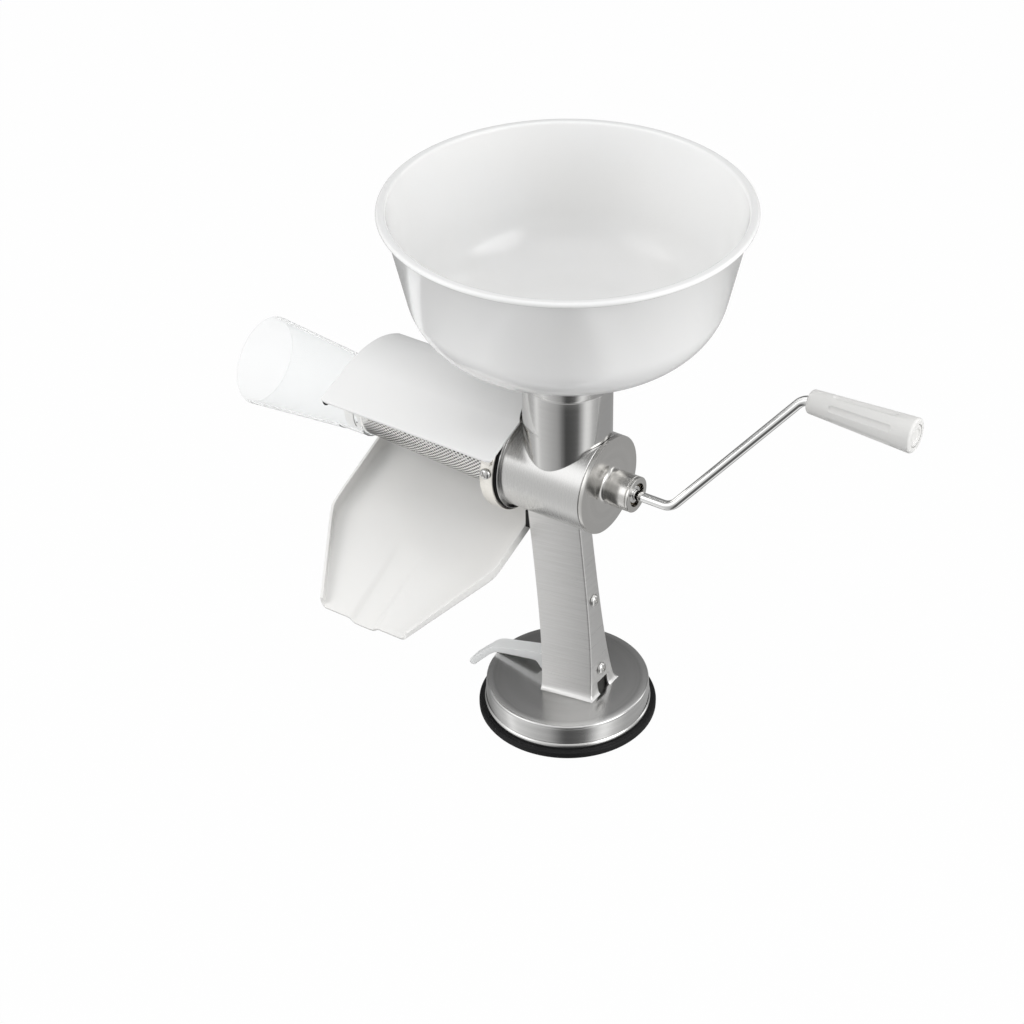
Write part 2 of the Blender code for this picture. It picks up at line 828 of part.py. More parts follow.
def make_shaft_bushing():
    start = spigot_end + seal_length + gap
    end = recess_floor + gap * 4
    profile = [(bushing_bore, end), (bushing_radius, end), (bushing_radius, start), (bushing_bore, start)]
    finish = material("bushing_bronze", (0.55, 0.42, 0.25), 0.3, 1.0)
    return turned("shaft_bushing", profile, finish, "X", on_axis(), steps=small_steps)


def make_shaft_collar():
    start = recess_floor + gap * 5
    end = boss_end - gap * 4
    edge = (end - start) / 5
    profile = [(bushing_bore, end), (collar_nut_radius - edge, end), (collar_nut_radius, end - edge),
               (collar_nut_radius, start), (bushing_bore, start)]
    finish = material("collar_chrome", (0.7, 0.7, 0.7), 0.12, 1.0)
    return turned("shaft_collar", profile, finish, "X", on_axis(), steps=small_steps)


# Crank, grip and drive

def crank_point(x, radius):
    angle = math.radians(crank_angle)
    return Vector((x, radius * math.cos(angle), axis_height + radius * math.sin(angle)))


def rounded_path(corners, radius, steps):
    """Straight runs with an arc at each inner corner."""
    points = [tuple(corners[0])]
    for before, corner, after in zip(corners, corners[1:], corners[2:]):
        back = (before - corner).normalized()
        ahead = (after - corner).normalized()
        half = back.angle(ahead) / 2
        reach = radius / math.tan(half)
        middle = corner + (back + ahead).normalized() * (radius / math.sin(half))
        first = corner + back * reach - middle
        last = corner + ahead * reach - middle
        for i in range(steps + 1):
            points.append(tuple(middle + radius * first.slerp(last, i / steps)))
    return points + [tuple(corners[-1])]


def make_crank_rod():
    corners = [crank_point(drive_start + gap * 2, 0.0), crank_point(crank_first_bend, 0.0),
               crank_point(crank_second_bend, crank_radius), crank_point(crank_tip, crank_radius)]
    finish = material("crank_chrome", (0.78, 0.78, 0.78), 0.06, 1.0)
    return tube("crank_rod", rounded_path(corners, crank_bend_radius, 6), rod_radius, finish, 3)


drive_end = spigot_end - gap - auger_spring_wire
socket_floor = auger_back - drive_socket_depth
drive_start = socket_floor + gap


def make_drive_block():
    half = drive_block_width / 2
    finish = steel("drive_steel")
    drive = block("drive_block", (drive_start, -half, axis_height - half), (drive_end, half, axis_height + half), finish)
    bore = rod("drive_bore", on_axis(drive_start - half), on_axis(drive_end + half), bushing_bore)
    return cut(drive, bore)


def grip_radius(x):
    share = (x - grip_start) / (grip_end - grip_start)
    return grip_small_radius + (grip_large_radius - grip_small_radius) * share


def make_grip():
    bore = rod_radius + gap
    pocket = grip_end - grip_cap_thickness - gap - grip_pocket_depth
    rounding = grip_round
    end_centre = (grip_large_radius - rounding, grip_end - rounding)
    start_centre = (grip_small_radius - rounding, grip_start + rounding)
    profile = [(grip_pocket_radius, grip_end)] + arc(end_centre, rounding, 90.0, 0.0, 3)
    profile += [(grip_radius(grip_start + rounding), grip_start + rounding)]
    profile += arc(start_centre, rounding, 0.0, -90.0, 3)
    profile += [(bore, grip_start), (bore, pocket), (grip_pocket_radius, pocket)]
    finish = white_plastic("grip_plastic")
    centre = crank_point(0.0, crank_radius)
    grip = turned("grip", profile, finish, "X", centre)
    for i in range(grip_flute_count):
        cut(grip, grip_flute(i, centre))
    return grip


def grip_flute(i, centre):
    """A shallow round-ended groove along the grip."""
    angle = math.tau * (i + 0.5) / grip_flute_count
    ends = []
    for x in (grip_flute_start, grip_flute_end):
        out = grip_radius(x) + grip_flute_radius - grip_flute_depth
        ends.append(Vector((x, centre[1] + out * math.cos(angle), centre[2] + out * math.sin(angle))))
    return rod("grip_flute", ends[0], ends[1], grip_flute_radius, steps=small_steps)


def make_grip_washer():
    centre = crank_point(0.0, crank_radius)
    start = grip_end - grip_cap_thickness - grip_pocket_depth
    end = start + washer_disc_thickness
    bore = rod_radius + gap
    rim = grip_pocket_radius - gap
    profile = [(bore, end), (rim, end), (rim, start), (bore, start)]
    return turned("grip_washer", profile, steel("grip_washer_steel"), "X", centre, steps=small_steps)


def make_grip_cap():
    centre = crank_point(0.0, crank_radius)
    rim = grip_pocket_radius - gap
    start = grip_end - grip_cap_thickness
    profile = [(0.0, grip_end), (rim, grip_end), (rim, start), (0.0, start)]
    return turned("grip_cap", profile, white_plastic("grip_cap_plastic"), "X", centre, ring=False,
                  steps=small_steps)


# Auger

collar_end = barrel_screen_end - gap * 2 - gasket_thickness
collar_start = collar_end - collar_length


def screen_outer(x):
    """The cone's outer radius between its collar and its nose."""
    share = (x - collar_start) / (screen_cone_end - collar_start)
    return screen_back_radius + (screen_nose_radius - screen_back_radius) * min(max(share, 0.0), 1.0)


def flight_radius(x):
    """The crest of the auger's flight, a clearance inside the barrel and then inside the cone."""
    wide = barrel_radius - barrel_wall - auger_clearance
    narrow = screen_outer(x) - screen_wall - auger_clearance
    blend_start = barrel_screen_end + auger_flight_thickness * 2
    if x > blend_start:
        return wide
    if x < collar_end:
        return narrow
    share = (blend_start - x) / (blend_start - collar_end)
    return wide + (narrow - wide) * share


def auger_core(x):
    share = (auger_back - x) / (auger_back - auger_nose)
    return auger_core_back + (auger_core_nose - auger_core_back) * share


def make_auger_flight(finish):
    """A helical blade: one small section carried round and along the core."""
    start = auger_back - auger_flight_thickness
    end = auger_nose + auger_flight_thickness
    count = round((start - end) / auger_pitch * auger_steps)
    rows = []
    for i in range(count + 1):
        x = start + (end - start) * i / count
        angle = math.tau * i / auger_steps
        root = auger_core(x) - auger_flight_thickness
        crest = flight_radius(x)
        half = auger_flight_thickness / 2
        section = ((root, half), (crest, half * 0.6), (crest, -half * 0.6), (root, -half))
        rows.append([(x + along, r * math.cos(angle), axis_height + r * math.sin(angle)) for r, along in section])
    mesh = bpy.data.meshes.new("auger_flight")
    faces = []
    for i in range(count):
        for j in range(4):
            a = i * 4 + j
            b = i * 4 + (j + 1) % 4
            faces.append((a, a + 4, b + 4, b))
    faces.append((0, 1, 2, 3))
    faces.append(tuple(count * 4 + j for j in (3, 2, 1, 0)))
    mesh.from_pydata([point for row in rows for point in row], [], faces)
    shape = bmesh.new()
    shape.from_mesh(mesh)
    bmesh.ops.recalc_face_normals(shape, faces=shape.faces)
    shape.to_mesh(mesh)
    shape.free()
    return add_mesh("auger_flight", mesh, finish)


def make_auger():
    finish = white_plastic("auger_plastic")
    tip = auger_core_nose / 2
    profile = [(0.0, auger_back), (auger_core_back, auger_back), (auger_core_nose, auger_nose),
               (tip, auger_nose - tip), (0.0, auger_nose - tip)]
    auger = turned("auger", profile, finish, "X", on_axis(), ring=False, steps=small_steps)
    join(auger, make_auger_flight(finish))
    half = drive_block_width / 2 + gap
    socket = block("auger_socket", (socket_floor, -half, axis_height - half),
                   (auger_back + drive_socket_depth, half, axis_height + half))
    return cut(auger, socket)


def make_auger_spring():
    start = auger_back + gap + auger_spring_wire / 2
    end = spigot_end - gap - auger_spring_wire / 2
    points = helix(on_axis(), auger_spring_radius, start, end, auger_spring_turns, "X")
    print("auger spring gap in mm", round(1000 * coil_gap(points, auger_spring_wire), 2))
    return tube("auger_spring", points, auger_spring_wire / 2, steel("auger_spring_steel"), 1)


# Screen, collar and gasket

def make_screen():
    flange_face = collar_start + collar_lip_thickness + gap
    flange_back = flange_face + screen_flange_thickness
    back = screen_back_radius
    nose = screen_nose_radius
    profile = [(back - screen_wall, flange_back), (screen_flange_radius, flange_back),
               (screen_flange_radius, flange_face), (back, flange_face), (nose, screen_cone_end),
               (nose, screen_nose_end), (nose - screen_wall, screen_nose_end),
               (nose - screen_wall, screen_cone_end)]
    return turned("screen", profile, steel("screen_steel"), "X", on_axis())


def make_screen_collar():
    lip = collar_start + collar_lip_thickness
    pocket = screen_flange_radius + gap
    neck = screen_back_radius + gap
    edge = collar_lip_thickness / 4
    profile = [(pocket, collar_end), (collar_radius, collar_end), (collar_radius, collar_start + edge),
               (collar_radius - edge, collar_start), (neck, collar_start), (neck, lip), (pocket, lip)]
    finish = material("collar_nickel", (0.72, 0.70, 0.65), 0.2, 1.0)
    return turned("screen_collar", profile, finish, "X", on_axis())


def make_barrel_gasket():
    start = collar_end + gap
    end = start + gasket_thickness
    inner = barrel_radius - barrel_wall
    profile = [(inner, end), (barrel_flange_radius, end), (barrel_flange_radius, start), (inner, start)]
    return turned("barrel_gasket", profile, rubber("gasket_rubber"), "X", on_axis())


def collar_screw_place(i):
    """Round the collar's side from the side of the chute, with +Z of the screw pointing out of the collar."""
    angle = math.radians(collar_screw_angle + collar_screw_spacing * i)
    y = collar_radius * math.cos(angle)
    z = axis_height + collar_radius * math.sin(angle)
    turn = Matrix.Rotation(angle - math.radians(90.0), 4, "X")
    return Matrix.Translation(((collar_start + collar_end) / 2, y, z)) @ turn


def make_collar_screws():
    finish = material("collar_screw_nickel", (0.74, 0.72, 0.68), 0.15, 1.0)
    screw = pan_screw("collar_screw", finish, collar_screw_head_radius, collar_screw_head_height, 0.0, 0.0)
    place_copies(screw, [(f"collar_screw_{i + 1}", collar_screw_place(i)) for i in range(collar_screw_count)])


# Waste funnel

def make_waste_funnel():
    collar_bore = screen_nose_radius + gap * 2
    collar_outer = collar_bore + funnel_wall
    shoulder = screen_nose_end - gap * 3
    mouth_inner = funnel_mouth_radius - funnel_wall
    profile = [(collar_bore, funnel_collar_end), (collar_outer, funnel_collar_end), (collar_outer, shoulder),
               (funnel_mouth_radius, funnel_mouth), (mouth_inner, funnel_mouth), (collar_bore, shoulder)]
    finish = material("funnel_clear", (0.92, 0.93, 0.93), 0.08, transmission=0.9)
    return turned("waste_funnel", profile, finish, "X", on_axis())


# Juice chute and its clip

def soft_least(a, b, width):
    """The smaller of two values, with the corner between them rounded."""
    return (a + b - math.sqrt((a - b) ** 2 + width ** 2)) / 2


def chute_half(y):
    share = (y - chute_front) / (chute_shoulder - chute_front)
    taper = chute_front_half_width + (chute_half_width - chute_front_half_width) * share
    return soft_least(chute_half_width, taper, chute_corner_round)


def chute_rim(y):
    back = chute_shoulder_rim + chute_back_slope * (y - chute_shoulder)
    front = chute_shoulder_rim + chute_front_slope * (y - chute_shoulder)
    return soft_least(back, front, chute_corner_round / 4)


def chute_depth(y):
    if y < chute_shoulder:
        share = (y - chute_front) / (chute_shoulder - chute_front)
        return chute_front_depth + (chute_shoulder_depth - chute_front_depth) * share
    share = min((y - chute_shoulder) / (0.0 - chute_shoulder), 1.0)
    return chute_shoulder_depth + (chute_back_depth - chute_shoulder_depth) * share


def chute_row(y, rim, floor, spout):
    """One section of the chute, from the left rim across the floor to the right rim."""
    half = chute_half(y)
    depth = max(rim - floor, gap)
    fillet = min(chute_fillet, depth * 0.8)
    inset = plastic_wall * 0.3
    left = [(-half, rim), (-half + inset, floor + fillet)]
    for angle in (30.0, 60.0, 90.0):
        turn = math.radians(angle)
        left.append((-half + inset + fillet * (1 - math.cos(turn)), floor + fillet * (1 - math.sin(turn))))
    left.append((-chute_spout_half_width, floor))
    left.append((-chute_spout_half_width * 0.45, floor - spout * 0.85))
    right = [(-x, z) for x, z in reversed(left)]
    return [(chute_centre + x, y, z) for x, z in left + [(0.0, floor - spout)] + right]


def make_juice_chute():
    rows = []
    bend = chute_back_wall * 0.78
    count = 14
    for i in range(count + 1):
        y = chute_front + (bend - chute_front) * i / count
        reach = max(1.0 - (y - chute_front) / (chute_shoulder - chute_front), 0.0)
        rows.append(chute_row(y, chute_rim(y), chute_rim(y) - chute_depth(y), chute_spout_depth * reach ** 0.7))
    floor = chute_rim(bend) - chute_depth(bend)
    rise = chute_back_wall - bend
    for angle in (30.0, 60.0, 90.0):
        turn = math.radians(angle)
        y = bend + rise * math.sin(turn)
        z = floor + chute_back_slope * rise * math.sin(turn) + rise * (1 - math.cos(turn))
        rows.append(chute_row(y, max(chute_rim(y), z + gap), z, 0.0))
    rows.append(chute_row(chute_back_wall, chute_back_top, chute_back_top - gap, 0.0))
    chute = thicken(loft("juice_chute", rows, white_plastic("chute_plastic")), plastic_wall, 1.0)
    return chute


def make_chute_clip():
    """A block in the pillar's open side that hooks over the chute's side."""
    chute_side = chute_centre + chute_half(0.0)
    top = chute_rim(0.0) + gap
    half_width = half_depth(top) + pillar_splay - steel_sheet - clip_side_clearance
    low = top - chute_depth(0.0)
    outer = chute_side + gap
    inner = chute_side - plastic_wall * 1.6 - gap
    thick = clip_sheet
    outline = [(outer, low), (outer + clip_reach, low), (outer + clip_reach, top + thick + 2 * gap),
               (inner - thick, top + thick + 2 * gap), (inner - thick, top - chute_depth(0.0) / 3),
               (inner, top - chute_depth(0.0) / 3), (inner, top + 2 * gap), (outer, top + 2 * gap)]
    clip = side_plate("chute_clip", outline, 2 * half_width, material("clip_rubber", (0.05, 0.05, 0.05), 0.5))
    lean = Matrix.Identity(4)
    lean[2][1] = chute_back_slope
    clip.data.transform(clip.matrix_world)
    clip.matrix_world = Matrix.Identity(4)
    clip.data.transform(lean)
    return clip


# Splash shield

def shield_path():
    """The shield's outer line in Y and Z, from its near edge over the crest and down behind the screen."""
    y, z = shield_near_edge, axis_height + shield_near_rise
    heading = math.radians(shield_tilt)
    points = [(y, z)]
    y += shield_panel_length * math.cos(heading)
    z += shield_panel_length * math.sin(heading)
    points.append((y, z))
    turns = ((shield_crest_radius, math.radians(shield_crest_turn), 7),
             (shield_shoulder_radius, math.radians(90.0 + shield_tilt - shield_crest_turn), 5))
    for radius, total, steps in turns:
        middle = (y + radius * math.sin(heading), z - radius * math.cos(heading))
        for i in range(1, steps + 1):
            angle = heading - total * i / steps
            points.append((middle[0] - radius * math.sin(angle), middle[1] + radius * math.cos(angle)))
        heading -= total
        y, z = points[-1]
    points.append((y, chute_back_top + gap))
    return points


def make_splash_shield():
    path = shield_path()
    rows = [[(shield_left, y, z) for y, z in path], [(shield_right, y, z) for y, z in path]]
    shield = thicken(loft("splash_shield", rows, white_plastic("shield_plastic")), shield_wall, 1.0)
    neck = rod("shield_neck_room", on_axis(), (0.0, 0.0, neck_top), neck_radius + shield_neck_clearance,
               steps=round_steps)
    cut(shield, neck)
    return shield


def stud_place():
    """Near the shield's outer corner, square to its panel."""
    heading = math.radians(shield_tilt)
    back = stud_radius * 1.5
    y = shield_near_edge + back * math.cos(heading)
    z = axis_height + shield_near_rise + back * math.sin(heading)
    turn = Matrix.Rotation(heading, 4, "X")
    return Matrix.Translation((shield_left + back, y, z)) @ turn


def make_shield_stud():
    top = gap + stud_height
    profile = [(0.0, top), (stud_radius * 0.6, top), (stud_radius, gap + stud_height / 2), (stud_radius, gap),
               (0.0, gap)]
    stud = turned("shield_stud", profile, rubber("stud_rubber"), ring=False, steps=screw_steps)
    stud.matrix_world = stud_place()
    return stud


def make_shield_hook():
    """A bent strip on the collar, with a foot round its rim and a tongue up to the shield's panel."""
    low_radius = collar_radius + gap
    high_radius = low_radius + hook_sheet
    centre = (0.0, axis_height)
    outline = arc(centre, low_radius, hook_foot_start, hook_foot_end, 5)
    y = outline[-1][0]
    slope = math.tan(math.radians(shield_tilt))
    drop = (shield_wall + gap) * math.hypot(1.0, slope)
    under = axis_height + shield_near_rise - shield_near_edge * slope - drop
    outline += [(y, under + y * slope), (y - hook_sheet, under + (y - hook_sheet) * slope)]
    outline += arc(centre, high_radius, hook_foot_end + 4.0, hook_foot_start, 5)
    x = (collar_start + collar_end) / 2
    return end_plate("shield_hook", outline, hook_width, steel("hook_steel"), x)


# Hopper bowl

def bowl_outer():
    """The bowl's outer side from under the lip to the spigot."""
    wall = Vector((bowl_knee_radius - bowl_mouth_radius, bowl_knee_height - (bowl_top - bowl_lip_height)))
    start = math.degrees(math.atan2(wall.x, -wall.y))
    drop = math.sin(math.radians(bowl_turn_end)) + math.sin(math.radians(start))
    turn_radius = (bowl_knee_height - bowl_floor_height) / drop
    centre = (bowl_knee_radius - turn_radius * math.cos(math.radians(start)),
              bowl_knee_height - turn_radius * math.sin(math.radians(start)))
    return centre, arc(centre, turn_radius, start, -bowl_turn_end, 7)


def make_hopper_bowl():
    centre, turn = bowl_outer()
    lip = bowl_lip_height
    under = bowl_top - lip
    spigot = neck_radius - neck_wall - gap
    seat = neck_top + gap
    spigot_low = neck_top - bowl_spigot_length
    top_round = lip / 2
    profile = [(bowl_mouth_radius - plastic_wall * 0.8, bowl_top - gap)]
    profile += arc((bowl_lip_radius - top_round, bowl_top - top_round), top_round, 90.0, -60.0, 4)
    profile += [(bowl_mouth_radius, under)] + turn
    profile += [(neck_radius + gap * 3, seat), (spigot, seat), (spigot, spigot_low),
                (spigot - bowl_spigot_wall, spigot_low), (spigot - bowl_spigot_wall, seat + plastic_wall)]
    inner = []
    for radius, height in reversed(turn):
        out = Vector((radius - centre[0], height - centre[1])).normalized() * plastic_wall
        inner.append((radius - out.x, height - out.y))
    profile += inner
    return turned("hopper_bowl", profile, white_plastic("bowl_plastic"), steps=bowl_steps)


def axis_guide(name, place):
    """An empty on a joint's axis."""
    guide = bpy.data.objects.new(name, None)
    guide.location = place
    guides.objects.link(guide)
    return guide


def ride(guide, *parts):
    """Parents the parts to the empty on their joint's axis, where they stand."""
    bpy.context.view_layer.update()
    for part in parts:
        keep = part.matrix_world.copy()
        part.parent = guide
        part.matrix_parent_inverse = guide.matrix_world.inverted()
        part.matrix_world = keep


make_suction_pad()
make_base_shell()
make_wear_washer()
make_release_spring()
lever = make_lever()
make_lever_pin()
stem = make_pull_stem()
make_pillar()
make_pillar_screws()
make_lever_bracket()
make_barrel()
make_end_cap()
make_shaft_seal()
make_shaft_bushing()
shaft_collar = make_shaft_collar()
crank_rod = make_crank_rod()
drive_block = make_drive_block()
grip_parts = [make_grip(), make_grip_washer(), make_grip_cap()]
auger = make_auger()
auger_spring = make_auger_spring()
make_screen()
make_screen_collar()
make_barrel_gasket()
make_collar_screws()
funnel = make_waste_funnel()
make_juice_chute()
make_chute_clip()
shield_parts = [make_splash_shield(), make_shield_stud()]
make_shield_hook()
bowl = make_hopper_bowl()

crank_axis = axis_guide("crank_axis", on_axis(crank_first_bend))
grip_axis = axis_guide("grip_axis", crank_point(grip_start, crank_radius))
lever_axis = axis_guide("lever_axis", (0.0, 0.0, lever_pin_height))
ride(crank_axis, shaft_collar, crank_rod, drive_block, auger, auger_spring, grip_axis)
ride(grip_axis, *grip_parts)
ride(lever_axis, lever)
ride(axis_guide("stem_axis", (0.0, 0.0, 0.0)), stem)
ride(axis_guide("hopper_axis", (0.0, 0.0, neck_top)), bowl)
ride(axis_guide("funnel_axis", on_axis(funnel_collar_end)), funnel)
ride(axis_guide("shield_axis", (shield_left, 0.0, axis_height)), *shield_parts)
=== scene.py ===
# %% [markdown]
# # A hand-cranked food strainer
#
# This lesson dresses a plain solid model of a kitchen strainer. Soft fruit goes into the bowl, drops down the
# neck into a steel barrel, and a crank turns an auger that presses it along a perforated cone. Juice runs down
# the white chute, and skins leave through the clear funnel. The solids hold the sizes and the joints. Each step
# below makes one real piece again with finer edges, at the place where the solids have it, and gives it a finish.

# %% Load the solids and measure them
import math
import bpy
from mathutils import Matrix, Vector


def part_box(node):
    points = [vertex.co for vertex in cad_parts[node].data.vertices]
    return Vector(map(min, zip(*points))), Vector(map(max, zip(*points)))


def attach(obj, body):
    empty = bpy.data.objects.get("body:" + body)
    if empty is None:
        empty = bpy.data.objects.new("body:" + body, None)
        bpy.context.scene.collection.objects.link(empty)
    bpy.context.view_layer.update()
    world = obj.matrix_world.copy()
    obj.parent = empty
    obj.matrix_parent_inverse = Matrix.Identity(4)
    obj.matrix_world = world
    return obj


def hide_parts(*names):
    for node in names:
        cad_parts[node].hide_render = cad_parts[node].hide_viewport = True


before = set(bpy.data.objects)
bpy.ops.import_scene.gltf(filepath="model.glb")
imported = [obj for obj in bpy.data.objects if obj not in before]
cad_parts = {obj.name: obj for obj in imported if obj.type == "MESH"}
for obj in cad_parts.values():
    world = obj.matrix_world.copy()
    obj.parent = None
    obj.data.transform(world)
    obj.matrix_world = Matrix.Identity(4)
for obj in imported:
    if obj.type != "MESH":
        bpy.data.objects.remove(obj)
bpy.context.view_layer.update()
mm = 0.001

# %% [markdown]
# Most of the machine was turned on a lathe, bent from sheet, or moulded, so a few shared tools cover it. The
# first one starts a piece from a small plane that is merged into a single point. Extruding that point draws an
# outline, much as one would with the E key, and the outline is then spun, filled or extruded.

# %% Tools for starting and finishing a piece
crank_height = 209.6
crank_line = Vector((0.0, 0.0, crank_height * mm))
side_x = Vector((1.0, 0.0, 0.0))
side_z = Vector((0.0, 0.0, 1.0))


def clear_selection():
    """Goes back to object mode with nothing selected."""
    if bpy.context.object and bpy.context.object.mode != "OBJECT":
        bpy.ops.object.mode_set(mode="OBJECT")
    bpy.ops.object.select_all(action="DESELECT")


def pick(piece):
    """Makes one piece the only selected and the active one."""
    clear_selection()
    piece.select_set(True)
    bpy.context.view_layer.objects.active = piece


def edit(piece, mode="VERT"):
    """Opens a piece in edit mode with all of it selected."""
    pick(piece)
    bpy.ops.object.mode_set(mode="EDIT")
    bpy.ops.mesh.select_mode(type=mode)
    bpy.ops.mesh.select_all(action="SELECT")


def choose(piece, kind, test):
    """Selects the points, edges or faces of a piece in edit mode that pass a test, and no others."""
    parts = {"VERT": piece.data.vertices, "EDGE": piece.data.edges, "FACE": piece.data.polygons}
    bpy.ops.mesh.select_mode(type=kind)
    bpy.ops.mesh.select_all(action="DESELECT")
    bpy.ops.object.mode_set(mode="OBJECT")
    chosen = 0
    for part in parts[kind]:
        part.select = bool(test(part))
        chosen += part.select
    bpy.ops.object.mode_set(mode="EDIT")
    return chosen


def settle(piece, angle=35.0):
    """Moves the piece's place into its mesh and shades it smooth but for its sharp corners."""
    pick(piece)
    bpy.ops.object.transform_apply(location=True, rotation=True, scale=True)
    bpy.ops.object.shade_smooth_by_angle(angle=math.radians(angle))
    return piece


def tidy_shell(piece):
    """Merges doubled points and turns all faces outwards."""
    edit(piece)
    bpy.ops.mesh.remove_doubles(threshold=0.000004)
    bpy.ops.mesh.normals_make_consistent(inside=False)
    bpy.ops.object.mode_set(mode="OBJECT")


def draw(name, points):
    """Draws a line through the points by extruding one point along it, and stays in edit mode."""
    clear_selection()
    bpy.ops.mesh.primitive_plane_add(size=0.01, location=points[0])
    bpy.ops.object.transform_apply(location=True, rotation=True, scale=True)
    piece = bpy.context.object
    piece.name = name
    piece.data.name = name
    bpy.ops.object.mode_set(mode="EDIT")
    bpy.ops.mesh.select_mode(type="VERT")
    bpy.ops.mesh.merge(type="CENTER")
    for before, after in zip(points, points[1:]):
        step = Vector(after) - Vector(before)
        bpy.ops.mesh.extrude_region_move(TRANSFORM_OT_translate={"value": step})
    return piece


def bow(centre, radius, start, end, steps):
    """Corners along an arc in an outline, with angles in degrees."""
    corners = []
    for i in range(steps + 1):
        angle = math.radians(start + (end - start) * i / steps)
        corners.append((centre[0] + radius * math.cos(angle), centre[1] + radius * math.sin(angle)))
    return corners


def turned(name, outline, centre=(0.0, 0.0, 0.0), axis=side_z, ring=True, steps=144):
    """Spins an outline of (radius, height) corners in mm once round an axis through the centre."""
    centre = Vector(centre)
    out = side_z if axis == side_x else side_x
    points = [centre + axis * (height * mm) + out * (radius * mm) for radius, height in outline]
    if ring:
        points.append(points[0])
    piece = draw(name, points)
    bpy.ops.mesh.select_all(action="SELECT")
    bpy.ops.mesh.spin(steps=steps, angle=math.tau, center=centre, axis=axis)
    bpy.ops.object.mode_set(mode="OBJECT")
    tidy_shell(piece)
    return settle(piece)


def turned_on_crank(name, outline, ring=True, steps=144, smooth=35.0):
    """Spins an outline of (radius, place) corners in mm round the crank's line."""
    return settle(turned(name, outline, crank_line, side_x, ring, steps), smooth)


def face_outwards(piece, away):
    """Turns the faces of an open sheet round if most of their area looks the wrong way."""
    if sum(face.normal.dot(away) * face.area for face in piece.data.polygons) < 0:
        edit(piece, "FACE")
        bpy.ops.mesh.flip_normals()
        bpy.ops.object.mode_set(mode="OBJECT")


def modify(piece, kind, **settings):
    """Adds one modifier, sets it up and applies it."""
    pick(piece)
    bpy.ops.object.modifier_add(type=kind)
    modifier = piece.modifiers[-1]
    for key, value in settings.items():
        setattr(modifier, key, value)
    bpy.ops.object.modifier_apply(modifier=modifier.name)
    return piece


def round_edges(piece, width, segments=3, angle=30.0):
    """Rounds every edge that turns more than the angle."""
    modify(piece, "BEVEL", width=width * mm, segments=segments, limit_method="ANGLE",
           angle_limit=math.radians(angle), use_clamp_overlap=True)
    return settle(piece)


def combine(piece, other, operation="DIFFERENCE"):
    """Cuts, joins or trims a piece with another shape, which is then gone."""
    modify(piece, "BOOLEAN", operation=operation, object=other, solver="EXACT")
    bpy.data.objects.remove(other, do_unlink=True)
    return piece


def cylinder(name, start, end, radius, sides=96):
    """A plain round bar between two points, used to cut."""
    line = Vector(end) - Vector(start)
    turn = side_z.rotation_difference(line).to_euler()
    clear_selection()
    bpy.ops.mesh.primitive_cylinder_add(vertices=sides, radius=radius, depth=line.length,
                                        location=(Vector(start) + Vector(end)) / 2, rotation=turn)
    bpy.context.object.name = name
    return bpy.context.object


def block(name, low, high):
    """A box between two corners, used to cut or to start a piece."""
    clear_selection()
    low = Vector(low)
    high = Vector(high)
    bpy.ops.mesh.primitive_cube_add(size=1.0, location=(low + high) / 2)
    bpy.context.object.scale = high - low
    bpy.ops.object.transform_apply(location=True, rotation=True, scale=True)
    bpy.context.object.name = name
    return bpy.context.object


def extruded(name, outline, start, end):
    """Fills an outline of points and extrudes it from one offset to another."""
    piece = draw(name, [Vector(point) + start for point in outline + outline[:1]])
    bpy.ops.mesh.select_all(action="SELECT")
    bpy.ops.mesh.remove_doubles(threshold=0.000004)
    bpy.ops.mesh.edge_face_add()
    bpy.ops.mesh.extrude_region_move(TRANSFORM_OT_translate={"value": end - start})
    bpy.ops.object.mode_set(mode="OBJECT")
    tidy_shell(piece)
    return settle(piece)


def finish_as(piece, look, body, *nodes, slot=None):
    """Gives a piece its finish, lets it move with its body and puts it in place of its solids."""
    piece.data.materials.clear()
    piece.data.materials.append(look)
    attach(piece, body)
    if nodes:
        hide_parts(*nodes)
    corners = [point.co for point in piece.data.vertices]
    low = [min(corner[i] for corner in corners) for i in range(3)]
    high = [max(corner[i] for corner in corners) for i in range(3)]
    boxes = [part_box(name) for name in nodes]
    past = 0.0
    for i in range(3):
        if boxes:
            past = max(past, min(box[0][i] for box in boxes) - low[i], high[i] - max(box[1][i] for box in boxes))
    size = [round((b - a) / mm, 1) for a, b in zip(low, high)]
    print(piece.name, "faces", len(piece.data.polygons), "size", size, "past its solid", round(past / mm, 2))
    return piece


# %% [markdown]
# A finish is a network of nodes round one Principled shader. These tools add nodes and wires. Patterns read the
# piece's own Object coordinates, so they stay on it when it moves. Long, thin noise gives the brushing that a
# belt leaves on steel: the coordinates are squeezed along the brushing, so each speck becomes a streak.

# %% Tools for finishes
def feed(made, item, **values):
    """Sets inputs and properties of a node. An input takes a plain value or another node's output."""
    for key, value in values.items():
        name = key.replace("_", " ")
        if isinstance(value, bpy.types.NodeSocket):
            made.node_tree.links.new(value, item.inputs[name])
        elif name in item.inputs.keys():
            item.inputs[name].default_value = value
        else:
            setattr(item, key, value)
    return item


def node(made, kind, **values):
    """Adds one node and sets it up."""
    return feed(made, made.node_tree.nodes.new(kind), **values)


def new_finish(name, colour, roughness, metallic=0.0, **more):
    """A material with one Principled shader, set to a colour, a roughness, a metallic value and more."""
    made = bpy.data.materials.new(name)
    made.use_nodes = True
    made.diffuse_color = (*colour, 1.0)
    shader = made.node_tree.nodes["Principled BSDF"]
    feed(made, shader, Base_Color=(*colour, 1.0), Roughness=roughness, Metallic=metallic, **more)
    return made, shader


